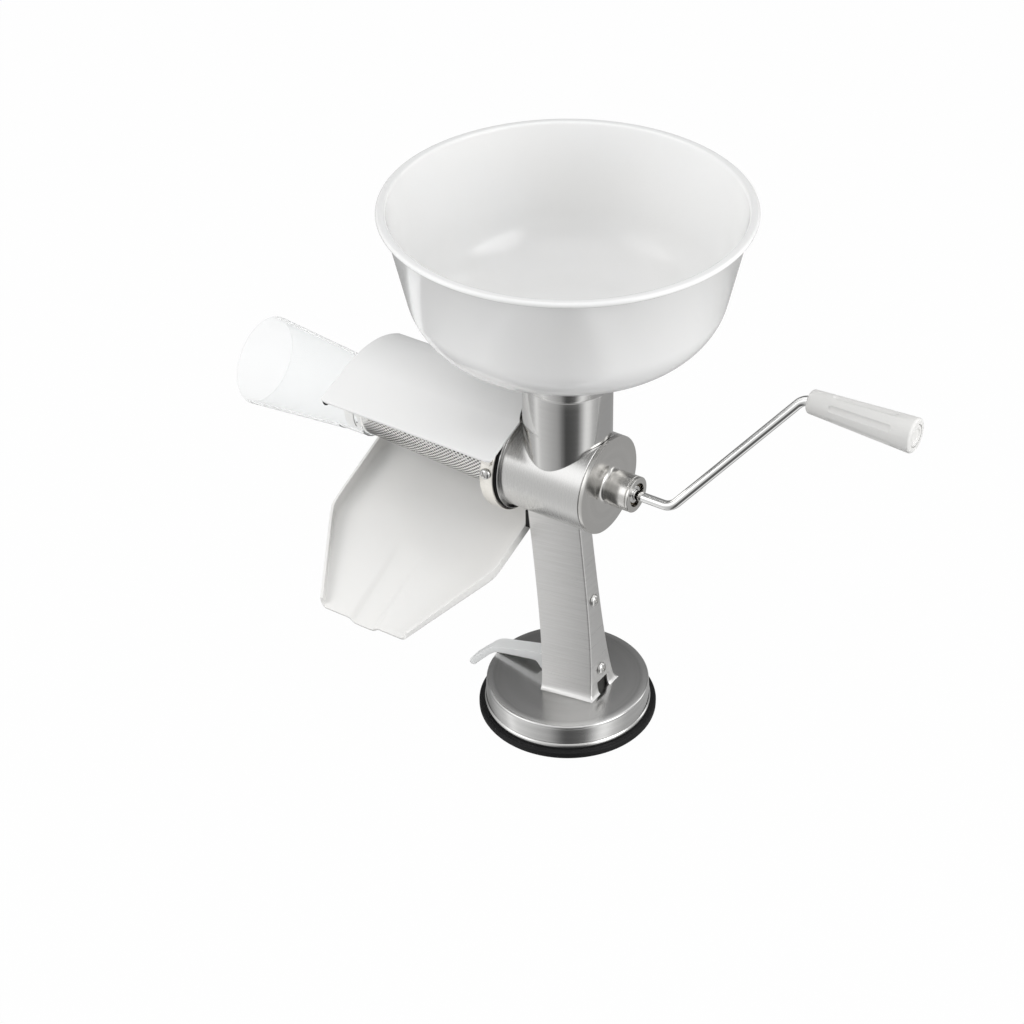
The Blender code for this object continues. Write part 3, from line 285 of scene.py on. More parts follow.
def object_place(made, scale=(1.0, 1.0, 1.0), turn=(0.0, 0.0, 0.0)):
    """The piece's own coordinates, turned and scaled."""
    here = node(made, "ShaderNodeTexCoord").outputs["Object"]
    return node(made, "ShaderNodeMapping", Vector=here, Scale=scale, Rotation=turn).outputs["Vector"]


def noise(made, place, scale, detail=3.0, rough=0.55):
    """A cloudy pattern from 0 to 1."""
    return node(made, "ShaderNodeTexNoise", Vector=place, Scale=scale, Detail=detail, Roughness=rough).outputs["Fac"]


def ramp(made, value, low, high, start=0.0, end=1.0):
    """Maps a value from the start-end range to the low-high range."""
    return node(made, "ShaderNodeMapRange", Value=value, From_Min=start, From_Max=end, To_Min=low,
                To_Max=high).outputs["Result"]


def result(item):
    """The output that a node has in use."""
    return [socket for socket in item.outputs if socket.enabled][0]


def mix(made, share, first, second, kind="RGBA"):
    """Blends two colours, numbers or directions by a share from 0 to 1."""
    return result(node(made, "ShaderNodeMix", data_type=kind, Factor=share, A=first, B=second))


def tint(made, value, dark, light):
    """Blends two colours, each of three parts, by a value."""
    return mix(made, value, (*dark, 1.0), (*light, 1.0))


def bump(made, shader, height, strength, distance):
    """Lets a pattern raise and lower the surface."""
    relief = node(made, "ShaderNodeBump", Strength=strength, Distance=distance, Height=height)
    feed(made, shader, Normal=relief.outputs["Normal"])


def speckle(made, shader, gloss, colours, relief=None):
    """Lets roughness, colour and relief vary with noise. Each comes as its scale and what it varies between."""
    place = object_place(made)
    feed(made, shader, Roughness=ramp(made, noise(made, place, gloss[0]), *gloss[1:]),
         Base_Color=tint(made, noise(made, place, colours[0]), *colours[1:]))
    if relief:
        bump(made, shader, noise(made, place, relief[0]), *relief[1:])


def work_out(made, kind, operation, *values):
    """Adds a maths node and gives it its values in order. Returns its result."""
    item = node(made, kind, operation=operation)
    for socket, value in zip(item.inputs, values):
        if isinstance(value, bpy.types.NodeSocket):
            made.node_tree.links.new(value, socket)
        else:
            socket.default_value = value
    return result(item)


def blend_shaders(made, share, first, second):
    """Goes from one shader to another by a share from 0 to 1."""
    item = node(made, "ShaderNodeMixShader")
    for socket, source in zip(item.inputs, (share, first.outputs[0], second.outputs[0])):
        made.node_tree.links.new(source, socket)
    return item


def directly_seen(made, paths):
    """1 for rays that come straight from the camera or through something clear, else 0."""
    return work_out(made, "ShaderNodeMath", "MAXIMUM", paths["Is Camera Ray"], paths["Is Transmission Ray"])


# %% [markdown]
# ## The foot
#
# A black rubber pad grips the worktop by suction. Above it sits a dome spun from steel sheet, with a rounded
# shoulder, a fine line pressed into its wall and a rolled bead at the bottom. Both are round, so both are
# outlines that are spun. The pad's rim stands out under the dome. The dome's plate has its colour scaled down inside
# a radius, as painted shade that makes it darker than its wall, and its middle is pressed down into a seat for a
# washer.

# %% Rubber and brushed steel
rubber, shader = new_finish("black_rubber", (0.007, 0.007, 0.0075), 0.5, Specular_IOR_Level=0.22)
speckle(rubber, shader, (900.0, 0.42, 0.62), (60.0, (0.005, 0.005, 0.0055), (0.010, 0.010, 0.0105)),
        (1400.0, 0.25, 0.0001))


def round_place(made, centre, along):
    """Distance from an axis and distance along it, for patterns that a lathe leaves."""
    here = node(made, "ShaderNodeTexCoord").outputs["Object"]
    from_centre = work_out(made, "ShaderNodeVectorMath", "SUBTRACT", here, centre)
    across = (0.0, 1.0, 1.0) if along == "X" else (1.0, 1.0, 0.0)
    flat = work_out(made, "ShaderNodeVectorMath", "MULTIPLY", from_centre, across)
    length = work_out(made, "ShaderNodeVectorMath", "LENGTH", flat)
    split = node(made, "ShaderNodeSeparateXYZ", Vector=from_centre)
    return node(made, "ShaderNodeCombineXYZ", X=length, Y=split.outputs[along]).outputs[0], from_centre


def spin_tangent(made, from_centre, along):
    """The direction that a lathe's tool marks run in, round the axis."""
    axis = (1.0, 0.0, 0.0) if along == "X" else (0.0, 0.0, 1.0)
    cross = work_out(made, "ShaderNodeVectorMath", "CROSS_PRODUCT", axis, from_centre)
    return node(made, "ShaderNodeVectorTransform", vector_type="VECTOR", convert_from="OBJECT", convert_to="WORLD",
                Vector=cross).outputs[0]


def lathe_steel(name, colour, roughness, centre, along, streak=0.10, stretch=0.6, fine=2600.0):
    """Steel with fine rings round an axis. Its gloss is drawn out across the rings."""
    made, shader = new_finish(name, colour, roughness, 1.0)
    rings, from_centre = round_place(made, centre, along)
    lines = noise(made, rings, fine, 2.0, 0.6)
    broad = noise(made, rings, fine / 9, 2.0, 0.5)
    dark = tuple(part * 0.90 for part in colour)
    light = tuple(min(part * 1.08, 1.0) for part in colour)
    feed(made, shader, Roughness=ramp(made, lines, roughness - streak, roughness + streak),
         Base_Color=tint(made, broad, dark, light), Anisotropic=stretch,
         Tangent=spin_tangent(made, from_centre, along))
    bump(made, shader, lines, 0.10, 0.00004)
    return made


dome_steel = lathe_steel("spun_steel", (0.80, 0.797, 0.79), 0.18, (0.0, 0.0, 0.0), "Z", 0.05, 0.55)
shader = dome_steel.node_tree.nodes["Principled BSDF"]
# Painted shade: inside a radius the colour is scaled down to 0.68, so the plate looks darker than the wall.
from_middle = node(dome_steel, "ShaderNodeSeparateXYZ", Vector=round_place(dome_steel, (0.0, 0.0, 0.0), "Z")[0])
plate_painted_darker = node(dome_steel, "ShaderNodeVectorMath", operation="SCALE",
              Vector=shader.inputs["Base Color"].links[0].from_socket,
              Scale=ramp(dome_steel, from_middle.outputs["X"], 0.68, 1.0, 0.0540, 0.0595))
feed(dome_steel, shader, Base_Color=plate_painted_darker.outputs[0])

# %% Pad and dome
pad = turned("foot_pad", [(0, 3.4), (3.3, 3.4), (3.3, 13.6), (9.5, 13.6), (9.5, 8.8), (61.0, 8.8), (61.0, 6.0),
                          (64.6, 6.0), (65.8, 4.9), (65.8, 1.4), (64.9, 0.0), (61.5, 0.0), (60.5, 0.7),
                          (47.0, 0.7), (46.0, 0.0), (44.0, 0.0), (43.0, 0.7), (27.0, 0.7), (26.0, 0.0),
                          (0.0, 0.0)], ring=False)
round_edges(pad, 0.45)
finish_as(pad, rubber, "stand", "suction_pad", slot="pad_rubber")
crown = [(3.9, 24.1), (9.6, 24.1), (11.2, 25.3), (12.4, 26.1), (13.6, 26.33), (16.0, 26.32),
         (30.0, 26.13), (42.0, 25.88), (50.0, 25.66), (55.0, 25.5)]
shoulder = bow((58.4, 23.7), 1.7, 88.0, 6.0, 8)
inner_shoulder = bow((58.4, 23.7), 0.7, 6.0, 88.0, 5)
dome = turned("foot_dome", crown + shoulder + [(60.05, 23.4), (59.95, 23.15), (60.05, 22.9), (60.2, 22.6),
                                               (60.8, 10.6), (60.6, 10.3), (60.6, 9.9), (60.95, 9.6),
                                               (61.5, 8.8), (61.7, 7.6), (61.6, 6.3), (59.6, 6.3)]
              + inner_shoulder + [(55.0, 24.4), (30.0, 25.0), (14.2, 25.2), (13.0, 24.9), (10.2, 23.0), (3.9, 23.0)])
round_edges(dome, 0.25, 2, 24.0)
finish_as(dome, dome_steel, "stand", "base_shell", slot="brushed_steel")

# %% [markdown]
# ## The pillar
#
# The pillar is one steel sheet folded into a channel: a web that faces the crank and two sides that face left and
# right, open at the back, where the lever swings. It leans, and it flares at the foot. A cube with three faces
# deleted is the folded sheet. Cutting it into levels and then narrowing and shifting each level gives the lean
# and the flare. The lowest levels turn outwards into the small flange that is welded to the dome, and a Solidify
# modifier gives the sheet its thickness.

# %% Sheet steel, brushed across
sheet_steel, shader = new_finish("sheet_steel", (0.82, 0.815, 0.805), 0.32, 1.0, Anisotropic=0.45)
place = object_place(sheet_steel, (30.0, 30.0, 1900.0), (0.0, math.radians(-6.0), 0.0))
grain = noise(sheet_steel, place, 1.0, 4.0, 0.65)
streaks = ramp(sheet_steel, grain, 0.0, 1.0, 0.3, 0.7)
feed(sheet_steel, shader, Roughness=ramp(sheet_steel, grain, 0.24, 0.50, 0.25, 0.75),
     Base_Color=tint(sheet_steel, streaks, (0.77, 0.765, 0.755), (0.92, 0.915, 0.905)))
bump(sheet_steel, shader, grain, 0.22, 0.00006)

# %% Fold the channel
web_foot = 31.2
lean = 0.1115
channel = 38.1
splay = 7.6
dome_top = 24.1
foot_z = 25.95
top_z = 182.0


def flare(z):
    """Half the width of the channel at a height."""
    return 7.2 + 9.9 * math.exp((dome_top - z) / 37.5)


def web_place(z):
    """How far the web stands from the foot's middle at a height."""
    return web_foot - lean * (z - dome_top)


pillar = block("pillar_channel", ((web_foot - channel) * mm, -0.5 * mm, foot_z * mm),
               (web_foot * mm, 0.5 * mm, top_z * mm))
edit(pillar, "FACE")
choose(pillar, "FACE", lambda face: abs(face.normal.z) > 0.9 or face.normal.x < -0.9)
bpy.ops.mesh.delete(type="FACE")
levels = 30
heights = [foot_z, foot_z + 0.4, foot_z + 0.9, foot_z + 1.6, foot_z + 2.4]
heights += [foot_z + (top_z - foot_z) * (i / levels) ** 1.5 for i in range(3, levels + 1)]
for height in heights[1:-1]:
    bpy.ops.mesh.select_all(action="SELECT")
    bpy.ops.mesh.bisect(plane_co=(0.0, 0.0, height * mm), plane_no=(0.0, 0.0, 1.0))
for height in heights:
    choose(pillar, "VERT", lambda point: abs(point.co.z - height * mm) < 0.00001)
    bpy.ops.transform.resize(value=(1.0, 2.0 * flare(height), 1.0), center_override=(0.0, 0.0, height * mm))
    bpy.ops.transform.translate(value=((web_place(height) - web_foot) * mm, 0.0, 0.0))


def on_free_edge(point, side):
    """True for the points of one side's rear edge."""
    back = (web_place(point.co.z / mm) - channel) * mm
    return abs(point.co.x - back) < 0.0001 and point.co.y * side > 0


def foot_flange(z):
    """How far the sheet turns outwards in its lowest millimetres, where it is welded to the dome."""
    return 1.9 * min(max(1.0 - (z - foot_z) / 4.0, 0.0), 1.0) ** 2


for height in heights[:5]:
    for side in (-1, 1):
        choose(pillar, "VERT", lambda point: abs(point.co.z - height * mm) < 0.00001 and point.co.y * side > 0)
        bpy.ops.transform.translate(value=(0.0, side * foot_flange(height) * mm, 0.0))
    web = web_place(height) * mm
    choose(pillar, "VERT", lambda point: abs(point.co.z - height * mm) < 0.00001 and abs(point.co.x - web) < 0.0001)
    bpy.ops.transform.translate(value=(foot_flange(height) * mm, 0.0, 0.0))
for side in (-1, 1):
    print("free edge points", choose(pillar, "VERT", lambda point: on_free_edge(point, side)))
    bpy.ops.transform.translate(value=(0.0, side * splay * mm, 0.0))
bpy.ops.object.mode_set(mode="OBJECT")
tidy_shell(pillar)
face_outwards(pillar, side_x)
edit(pillar)


def on_fold(line):
    """True for the upright edges where the web meets a side."""
    a, b = (pillar.data.vertices[i].co for i in line.vertices)
    web = web_place(a.z / mm) + foot_flange(a.z / mm)
    return abs(a.z - b.z) > 0.0005 and abs(a.x - web * mm) < 0.0002


print("fold edges", choose(pillar, "EDGE", on_fold))
bpy.ops.mesh.bevel(offset=1.3 * mm, segments=5, profile=0.5, affect="EDGES")
bpy.ops.object.mode_set(mode="OBJECT")
modify(pillar, "SOLIDIFY", thickness=1.5 * mm, offset=-1.0, use_even_offset=True)

# %% Trim the channel to the barrel, the foot and the notch
combine(pillar, cylinder("seat", crank_line - side_x * 0.09, crank_line + side_x * 0.09, 36.25 * mm, 160))
combine(pillar, block("ground", (-0.1, -0.1, -0.1), (0.1, 0.1, (foot_z + 0.04) * mm)))
combine(pillar, block("notch", (15 * mm, -6.5 * mm, 20 * mm), (50 * mm, 6.5 * mm, 35.5 * mm)))
screw_places = {"lower": 44.5, "upper": 104.0}
web_out = Vector((1.0, 0.0, lean)).normalized()
for height in screw_places.values():
    middle = Vector((web_place(height) * mm, 0.0, height * mm))
    combine(pillar, cylinder("screw_hole", middle - web_out * 0.008, middle + web_out * 0.008, 2.3 * mm, 48))
round_edges(pillar, 0.3, 2, 50.0)
finish_as(pillar, sheet_steel, "stand", "pillar", slot="brushed_steel")

# %% [markdown]
# Two chromed screws hold the web to a bracket inside. A pan head is a low dome with a cross pressed into it. The
# head is spun, and two thin blocks cut the cross. The same head, a little smaller, holds the screen's collar, so
# one function makes a screw standing on the origin, and each screw is then put at its place.

# %% Chrome screws
chrome, shader = new_finish("screw_chrome", (0.78, 0.775, 0.765), 0.13, 1.0)
speckle(chrome, shader, (420.0, 0.07, 0.22), (150.0, (0.72, 0.715, 0.70), (0.84, 0.835, 0.825)),
        (260.0, 0.10, 0.0001))


def put(piece, matrix):
    """Turns and moves a piece made at the origin to its place."""
    pick(piece)
    piece.matrix_world = matrix
    bpy.ops.object.transform_apply(location=True, rotation=True, scale=True)
    return piece


def screw(name, radius, height, shank=0.0, length=0.0):
    """A pan-head screw along +Z with a cross recess, its head just over the origin."""
    outline = [(0.0, height + 0.3), (radius * 0.35, height * 0.98 + 0.3), (radius * 0.68, height * 0.84 + 0.3),
               (radius * 0.90, height * 0.58 + 0.3), (radius, height * 0.25 + 0.3), (radius * 0.985, 0.3)]
    if shank:
        outline += [(shank, 0.3), (shank, -length), (0.0, -length)]
    else:
        outline += [(0.0, 0.3)]
    piece = turned(name, outline, ring=False, steps=48)
    arm = radius * 0.56 * mm
    slot = radius * 0.13 * mm
    deep = (0.3 + height * 0.30) * mm
    high = (height + 2.0) * mm
    combine(piece, block("slot_a", (-arm, -slot, deep), (arm, slot, high)))
    combine(piece, block("slot_b", (-slot, -arm, deep), (slot, arm, high)))
    return round_edges(piece, radius * 0.035, 2, 40.0)


onto_web = side_z.rotation_difference(web_out).to_matrix().to_4x4() @ Matrix.Rotation(0.5, 4, "Z")
for name, (which, height) in zip(("pillar_screw_low", "pillar_screw_high"), screw_places.items()):
    piece = screw(name, 4.7, 2.4, 2.0, 7.5)
    put(piece, Matrix.Translation((web_place(height) * mm, 0.0, height * mm)) @ onto_web)
    settle(piece, 40.0)
    finish_as(piece, chrome, "stand", f"pillar_screw_{which}", slot="screw_chrome")

# %% [markdown]
# ## The suction lever
#
# The lever is one moulding of milky plastic. Its hub turns on a pin inside the pillar, its arm runs out over the
# dome, and a finger tab hangs past the foot. It is flat from side to side, so its outline is drawn from the side,
# filled and extruded, and its edges are rounded as a mould rounds them. Light passes into it a little, which is
# done with some subsurface light.

# %% Milky plastic
milky, shader = new_finish("milky_plastic", (0.84, 0.85, 0.845), 0.30, Subsurface_Weight=0.55, IOR=1.46,
                           Subsurface_Radius=(1.0, 1.0, 1.0), Subsurface_Scale=0.004)
speckle(milky, shader, (60.0, 0.27, 0.33), (35.0, (0.81, 0.82, 0.815), (0.87, 0.88, 0.875)))

# %% Lever
hub = bow((0.0, 37.0), 11.5, 128.0, -90.0, 26)
under_arm = [(-9.0, 26.8), (-16.6, 26.7), (-18.3, 26.9), (-20.2, 28.2), (-22.6, 31.4), (-24.5, 32.6),
             (-27.5, 32.4), (-44.0, 28.9), (-58.5, 25.7), (-61.5, 24.2), (-66.0, 20.5), (-77.6, 7.4), (-79.2, 5.4)]
lip = [(-80.5, 4.6), (-82.8, 4.4), (-84.3, 5.1), (-84.5, 6.6), (-83.8, 8.6)]
over_arm = [(-77.5, 15.2), (-70.3, 22.6), (-66.6, 26.2), (-62.8, 29.0), (-59.2, 30.7), (-55.0, 31.9),
            (-27.0, 39.9), (-12.0, 42.6)]
outline = [Vector((x * mm, 0.0, z * mm)) for x, z in hub + under_arm + lip + over_arm]
lever = extruded("suction_lever_moulding", outline, Vector((0.0, -6.0 * mm, 0.0)), Vector((0.0, 6.0 * mm, 0.0)))
combine(lever, cylinder("pin_hole", (0.0, -0.02, 0.037), (0.0, 0.02, 0.037), 2.3 * mm, 48))
combine(lever, block("fork", (-12.1 * mm, -3.2 * mm, 0.012), (12.1 * mm, 3.2 * mm, 0.062)))
round_edges(lever, 1.1, 4, 55.0)
finish_as(lever, milky, "lever", "suction_lever", slot="lever_plastic")

# %% [markdown]
# ## Barrel and neck
#
# The barrel is a drawn steel tube along the crank's line with a flange at the screen's end, and the neck is a
# second tube welded on top. Two solid bars of the outer sizes are joined with a Boolean modifier, and two bores
# are then cut out of both, so the walls run into each other as the weld makes them. The neck's bore is cut while
# the barrel is still solid, because its cut doesn't come out cleanly each time once the barrel is hollow. The
# steel is polished round, so its rings follow the tube that they are on.

# %% Polished steel, its rings round X on the barrel and round Z on the neck
def tube_steel(name, colour, roughness):
    """Steel of two joined tubes: duller with rings round X on the barrel, sharper with rings round Z beyond it."""
    made, shader = new_finish(name, colour, roughness, 1.0, Anisotropic=0.5)
    along_barrel, from_line = round_place(made, tuple(crank_line), "X")
    along_neck, from_pole = round_place(made, (0.0, 0.0, 0.0), "Z")
    grains = []
    for rings in (along_barrel, along_neck):
        stretched = node(made, "ShaderNodeMapping", Vector=rings, Scale=(6.0, 1.0, 1.0))
        grains.append(noise(made, stretched.outputs["Vector"], 1500.0, 2.0, 0.6))
    flat = work_out(made, "ShaderNodeVectorMath", "MULTIPLY", from_line, (0.0, 1.0, 1.0))
    from_axis = work_out(made, "ShaderNodeVectorMath", "LENGTH", flat)
    on_neck = ramp(made, from_axis, 0.0, 1.0, 0.0364, 0.0370)
    grain = mix(made, on_neck, *grains, kind="FLOAT")
    gloss = mix(made, on_neck, ramp(made, grain, roughness + 0.10, roughness + 0.16),
                ramp(made, grain, roughness - 0.05, roughness + 0.05), "FLOAT")
    dark = tuple(part * 0.94 for part in colour)
    light = tuple(min(part * 1.05, 1.0) for part in colour)
    tangent = mix(made, on_neck, spin_tangent(made, from_line, "X"), spin_tangent(made, from_pole, "Z"), "VECTOR")
    feed(made, shader, Roughness=gloss, Base_Color=tint(made, grain, dark, light), Tangent=tangent)
    bump(made, shader, grain, 0.05, 0.00004)
    return made


barrel_steel = tube_steel("drawn_steel", (0.68, 0.676, 0.668), 0.14)

# %% Join the two tubes and bore them
barrel = turned_on_crank("barrel_and_neck",
                         [(0.0, 31.5), (34.7, 31.5), (34.7, 31.0), (35.75, 31.0), (36.0, 30.75), (36.0, -32.9),
                          (36.2, -33.1), (38.7, -33.15), (38.9, -33.35), (38.9, -33.8), (38.7, -34.0), (0.0, -34.0)],
                         ring=False, steps=192)
neck = turned("neck_bar", [(0.0, 315.3), (31.0, 315.3), (31.4, 314.9), (31.4, 286.1), (31.15, 285.6),
                           (31.0, 285.0), (31.15, 284.4), (31.4, 283.9), (31.4, crank_height), (0.0, crank_height)],
              ring=False, steps=192)
combine(barrel, neck, "UNION")
combine(barrel, cylinder("neck_bore", crank_line, (0.0, 0.0, 0.35), 29.9 * mm, 192))
combine(barrel, cylinder("bore", crank_line - side_x * 0.07, crank_line + side_x * 0.07, 34.2 * mm, 192))
settle(barrel, 28.0)
finish_as(barrel, barrel_steel, "stand", "barrel", slot="satin_steel")

# %% [markdown]
# ## End cap, bearing and crank
#
# The end cap is one turned piece: a disc that closes the barrel, and a boss with a polished groove, a long land
# and a recess that holds the shaft's collar. The disc's face shows the rings of the cutting tool. Its outline is
# spun round the crank's line. A tool's rings make gloss fan out from the centre, so the shader's tangent runs
# round the axis and its gloss is stretched.

# %% End cap
cap_steel = lathe_steel("turned_steel", (0.75, 0.74, 0.72), 0.20, tuple(crank_line), "X", 0.06, 0.6, 1900.0)
boss = [(8.7, 57.0), (12.3, 57.0), (12.75, 56.8), (13.0, 56.35), (13.0, 55.0), (12.55, 54.7), (12.4, 54.35),
        (12.55, 54.0), (13.0, 53.7), (13.0, 40.4), (12.75, 39.7), (12.2, 39.2), (12.0, 38.4), (12.05, 37.0),
        (12.5, 36.1), (13.4, 35.3), (14.8, 34.75), (16.5, 34.6)]
disc = [(35.4, 34.6), (35.85, 34.45), (36.0, 34.05), (36.0, 31.8), (33.9, 31.8), (33.9, 27.3), (8.1, 27.3),
        (8.1, 49.5), (8.7, 49.5)]
cap = turned_on_crank("end_cap_turning", boss + disc, steps=192, smooth=22.0)
finish_as(cap, cap_steel, "stand", "end_cap", slot="turned_steel")

# %% Collar of the shaft
collar_chrome = lathe_steel("collar_chrome", (0.88, 0.875, 0.865), 0.12, tuple(crank_line), "X", 0.05, 0.3)
nut = turned_on_crank("shaft_collar_turning", [(3.8, 55.8), (5.5, 55.8), (6.2, 55.5), (6.5, 54.8), (6.5, 51.0),
                                               (3.8, 51.0)], steps=96)
round_edges(nut, 0.2, 2, 40.0)
finish_as(nut, collar_chrome, "crank", "shaft_collar", slot="bright_steel")

# %% [markdown]
# The crank rod is a chromed bar bent twice. A filled circle is extruded along its first straight run, spun round
# the centre of each bend, and extruded again, so the bar keeps its thickness right through the bends.

# %% Crank rod
rod_chrome, shader = new_finish("rod_chrome", (0.96, 0.96, 0.955), 0.05, 1.0)
speckle(rod_chrome, shader, (90.0, 0.03, 0.09), (30.0, (0.94, 0.94, 0.935), (0.98, 0.98, 0.975)),
        (55.0, 0.04, 0.0004))
throw = math.radians(54.0)
reach_out = Vector((0.0, math.cos(throw), math.sin(throw)))
bend_axis = side_x.cross(reach_out)
rod_start = crank_line - side_x * 0.0031
first_corner = crank_line + side_x * 0.084
second_corner = crank_line + side_x * 0.1515 + reach_out * 0.0993
arm_run = second_corner - first_corner
bend = side_x.angle(arm_run)
bend_radius = 11.0 * mm
bend_reach = bend_radius * math.tan(bend / 2)

clear_selection()
bpy.ops.mesh.primitive_circle_add(vertices=48, radius=3.5 * mm, fill_type="NGON",
                                  location=rod_start, rotation=(0.0, math.radians(90.0), 0.0))
rod = bpy.context.object
rod.name = "crank_rod_bar"
bpy.ops.object.transform_apply(location=True, rotation=True, scale=True)
edit(rod)
runs = (first_corner - side_x * bend_reach - rod_start, arm_run.normalized() * (arm_run.length - 2 * bend_reach),
        side_x * (0.230 - 0.1515 - bend_reach))
turns = ((first_corner - side_x * bend_reach + reach_out * bend_radius, -bend),
         (second_corner + side_x * bend_reach - reach_out * bend_radius, bend))
bpy.ops.mesh.extrude_region_move(TRANSFORM_OT_translate={"value": runs[0]})
for (bend_middle, angle), run in zip(turns, runs[1:]):
    bpy.ops.mesh.spin(steps=16, angle=angle, center=bend_middle, axis=bend_axis)
    bpy.ops.mesh.extrude_region_move(TRANSFORM_OT_translate={"value": run})
bpy.ops.object.mode_set(mode="OBJECT")
tidy_shell(rod)
round_edges(rod, 0.5, 3, 60.0)
finish_as(rod, rod_chrome, "crank", "crank_rod", slot="rod_chrome")

# %% [markdown]
# The grip is a white moulding that turns on the rod. It widens towards its end, where a plug closes the pocket
# for its washer, and six shallow flutes give hold. The flutes are cut with a round-ended bar that is spun once,
# copied and turned into place, one copy for each cut.

# %% White plastic
def white_plastic(name, colour, roughness, gloss=0.0, grain=0.01):
    """Smooth moulded plastic with a little light inside it."""
    made, shader = new_finish(name, colour, roughness, Coat_Weight=gloss, Coat_Roughness=0.08,
                              Subsurface_Weight=0.10, Subsurface_Radius=(1.0, 1.0, 1.0), Subsurface_Scale=0.0015)
    warm = tuple(part * share for part, share in zip(colour, (1.012, 1.006, 0.996)))
    cool = tuple(part * share for part, share in zip(colour, (0.982, 0.986, 0.990)))
    speckle(made, shader, (40.0, roughness - 0.02, roughness + 0.02), (14.0, cool, warm), (700.0, grain, 0.0001))
    return made


grip_white = white_plastic("grip_plastic", (0.73, 0.725, 0.71), 0.30)
grip_line = Vector((0.0, 58.367 * mm, 289.935 * mm))
grip_start = 156.0
grip_length = 79.0
grip_widening = 3.9
flute_size = 4.2


def grip_radius(x):
    """The grip's radius at a place on the crank's line."""
    return 8.5 + grip_widening * (x - grip_start) / grip_length


# %% Grip with its flutes and its plug
grip = turned("grip_moulding", [(8.2, 235.0), (9.4, 235.0)] + bow((10.4, 233.0), 2.0, 90.0, 4.0, 8)
              + [(grip_radius(160.0), 160.0)] + bow((6.4, 158.2), 2.2, 0.0, -90.0, 8)
              + [(3.8, grip_start), (3.8, 223.3), (8.2, 223.3)], centre=grip_line, axis=side_x, steps=144)
flute_bar = turned("flute_bar", [(0.0, -25.4)] + bow((0.0, -21.2), flute_size, -90.0, 0.0, 8)
                   + bow((0.0, 21.2), flute_size, 0.0, 90.0, 8), ring=False, steps=48)
flute_tilt = math.atan2(grip_widening, grip_length)
for i in range(6):
    bar = flute_bar.copy()
    bar.data = flute_bar.data.copy()
    bpy.context.collection.objects.link(bar)
    out = (grip_radius(196.75) + flute_size - 1.1) * mm
    turn = Matrix.Rotation(math.tau * (i + 0.5) / 6 - math.radians(90.0), 4, "X")
    lay = Matrix.Rotation(math.radians(90.0) - flute_tilt, 4, "Y")
    put(bar, Matrix.Translation(grip_line + side_x * 0.19675) @ turn @ Matrix.Translation((0.0, 0.0, out)) @ lay)
    combine(grip, bar)
bpy.data.objects.remove(flute_bar, do_unlink=True)
round_edges(grip, 0.35, 2, 24.0)
finish_as(grip, grip_white, "grip", "grip", slot="white_plastic")
plug = turned("grip_plug", [(0.0, 234.2), (4.6, 234.2), (5.2, 234.9), (7.3, 235.0), (7.8, 234.6), (7.9, 234.0),
                            (7.9, 232.6), (0.0, 232.6)], centre=grip_line, axis=side_x, ring=False, steps=96)
round_edges(plug, 0.2, 2, 30.0)
finish_as(plug, grip_white, "grip", "grip_cap", slot="white_plastic")

# %% [markdown]
# ## The perforated screen
#
# The screen is a steel cone with thousands of round holes in staggered rows. A circle of points is extruded ring
# by ring and narrowed at each ring, which gives a net of squares. Poking each square and dissolving its sides
# leaves diamonds whose corners stand where the holes belong, in staggered rows. A vertex bevel opens every corner
# into a small polygon, and those polygons are deleted. A Solidify modifier then gives the sheet its thickness, so
# the holes have real walls. Little light gets into the holes, so the finish turns dark below the outer skin.

# %% Bright screen steel
screen_steel, shader = new_finish("screen_steel", (0.80, 0.79, 0.775), 0.20, 1.0)
rings = round_place(screen_steel, tuple(crank_line), "X")[0]
grain = noise(screen_steel, rings, 2200.0, 2.0, 0.6)
bright = tint(screen_steel, noise(screen_steel, object_place(screen_steel), 90.0), (0.88, 0.87, 0.855),
              (0.95, 0.94, 0.925))
split = node(screen_steel, "ShaderNodeSeparateXYZ", Vector=rings)
skin = ramp(screen_steel, split.outputs["Y"], 24.0 * mm, 29.0 * mm, -165.0 * mm, -47.0 * mm)
over_skin = work_out(screen_steel, "ShaderNodeMath", "SUBTRACT", split.outputs["X"], skin)
outside = ramp(screen_steel, over_skin, 0.0, 1.0, -0.15 * mm, -0.07 * mm)
feed(screen_steel, shader, Roughness=ramp(screen_steel, grain, 0.14, 0.28),
     Base_Color=mix(screen_steel, outside, (0.035, 0.028, 0.024, 1.0), bright))
bump(screen_steel, shader, grain, 0.08, 0.00004)

# %% Perforated cone
hole_columns = 60
hole_rows = 33
row_step = 3.5
cone_start = -46.0


def cone_radius(x):
    """The screen's outer radius at a place on the crank's line."""
    return 29.0 - 5.0 * min(max((-47.0 - x) / 118.0, 0.0), 1.0)


clear_selection()
bpy.ops.mesh.primitive_circle_add(vertices=hole_columns, radius=cone_radius(cone_start) * mm, fill_type="NOTHING",
                                  location=crank_line + side_x * (cone_start * mm),
                                  rotation=(0.0, math.radians(90.0), 0.0))
screen = bpy.context.object
screen.name = "perforated_cone"
bpy.ops.object.transform_apply(location=True, rotation=True, scale=True)
edit(screen)
for row in range(hole_rows):
    x = cone_start - row * row_step
    share = cone_radius(x - row_step) / cone_radius(x)
    bpy.ops.mesh.extrude_region_move(TRANSFORM_OT_translate={"value": (-row_step * mm, 0.0, 0.0)})
    bpy.ops.transform.resize(value=(1.0, share, share),
                             center_override=crank_line + side_x * ((x - row_step) * mm))
bpy.ops.mesh.select_mode(type="EDGE")
bpy.ops.mesh.select_all(action="SELECT")
bpy.ops.mesh.mark_seam(clear=False)
bpy.ops.mesh.select_mode(type="FACE")
bpy.ops.mesh.select_all(action="SELECT")
bpy.ops.mesh.poke()
net_end = cone_start - hole_rows * row_step
bpy.ops.object.mode_set(mode="OBJECT")
uses = {}
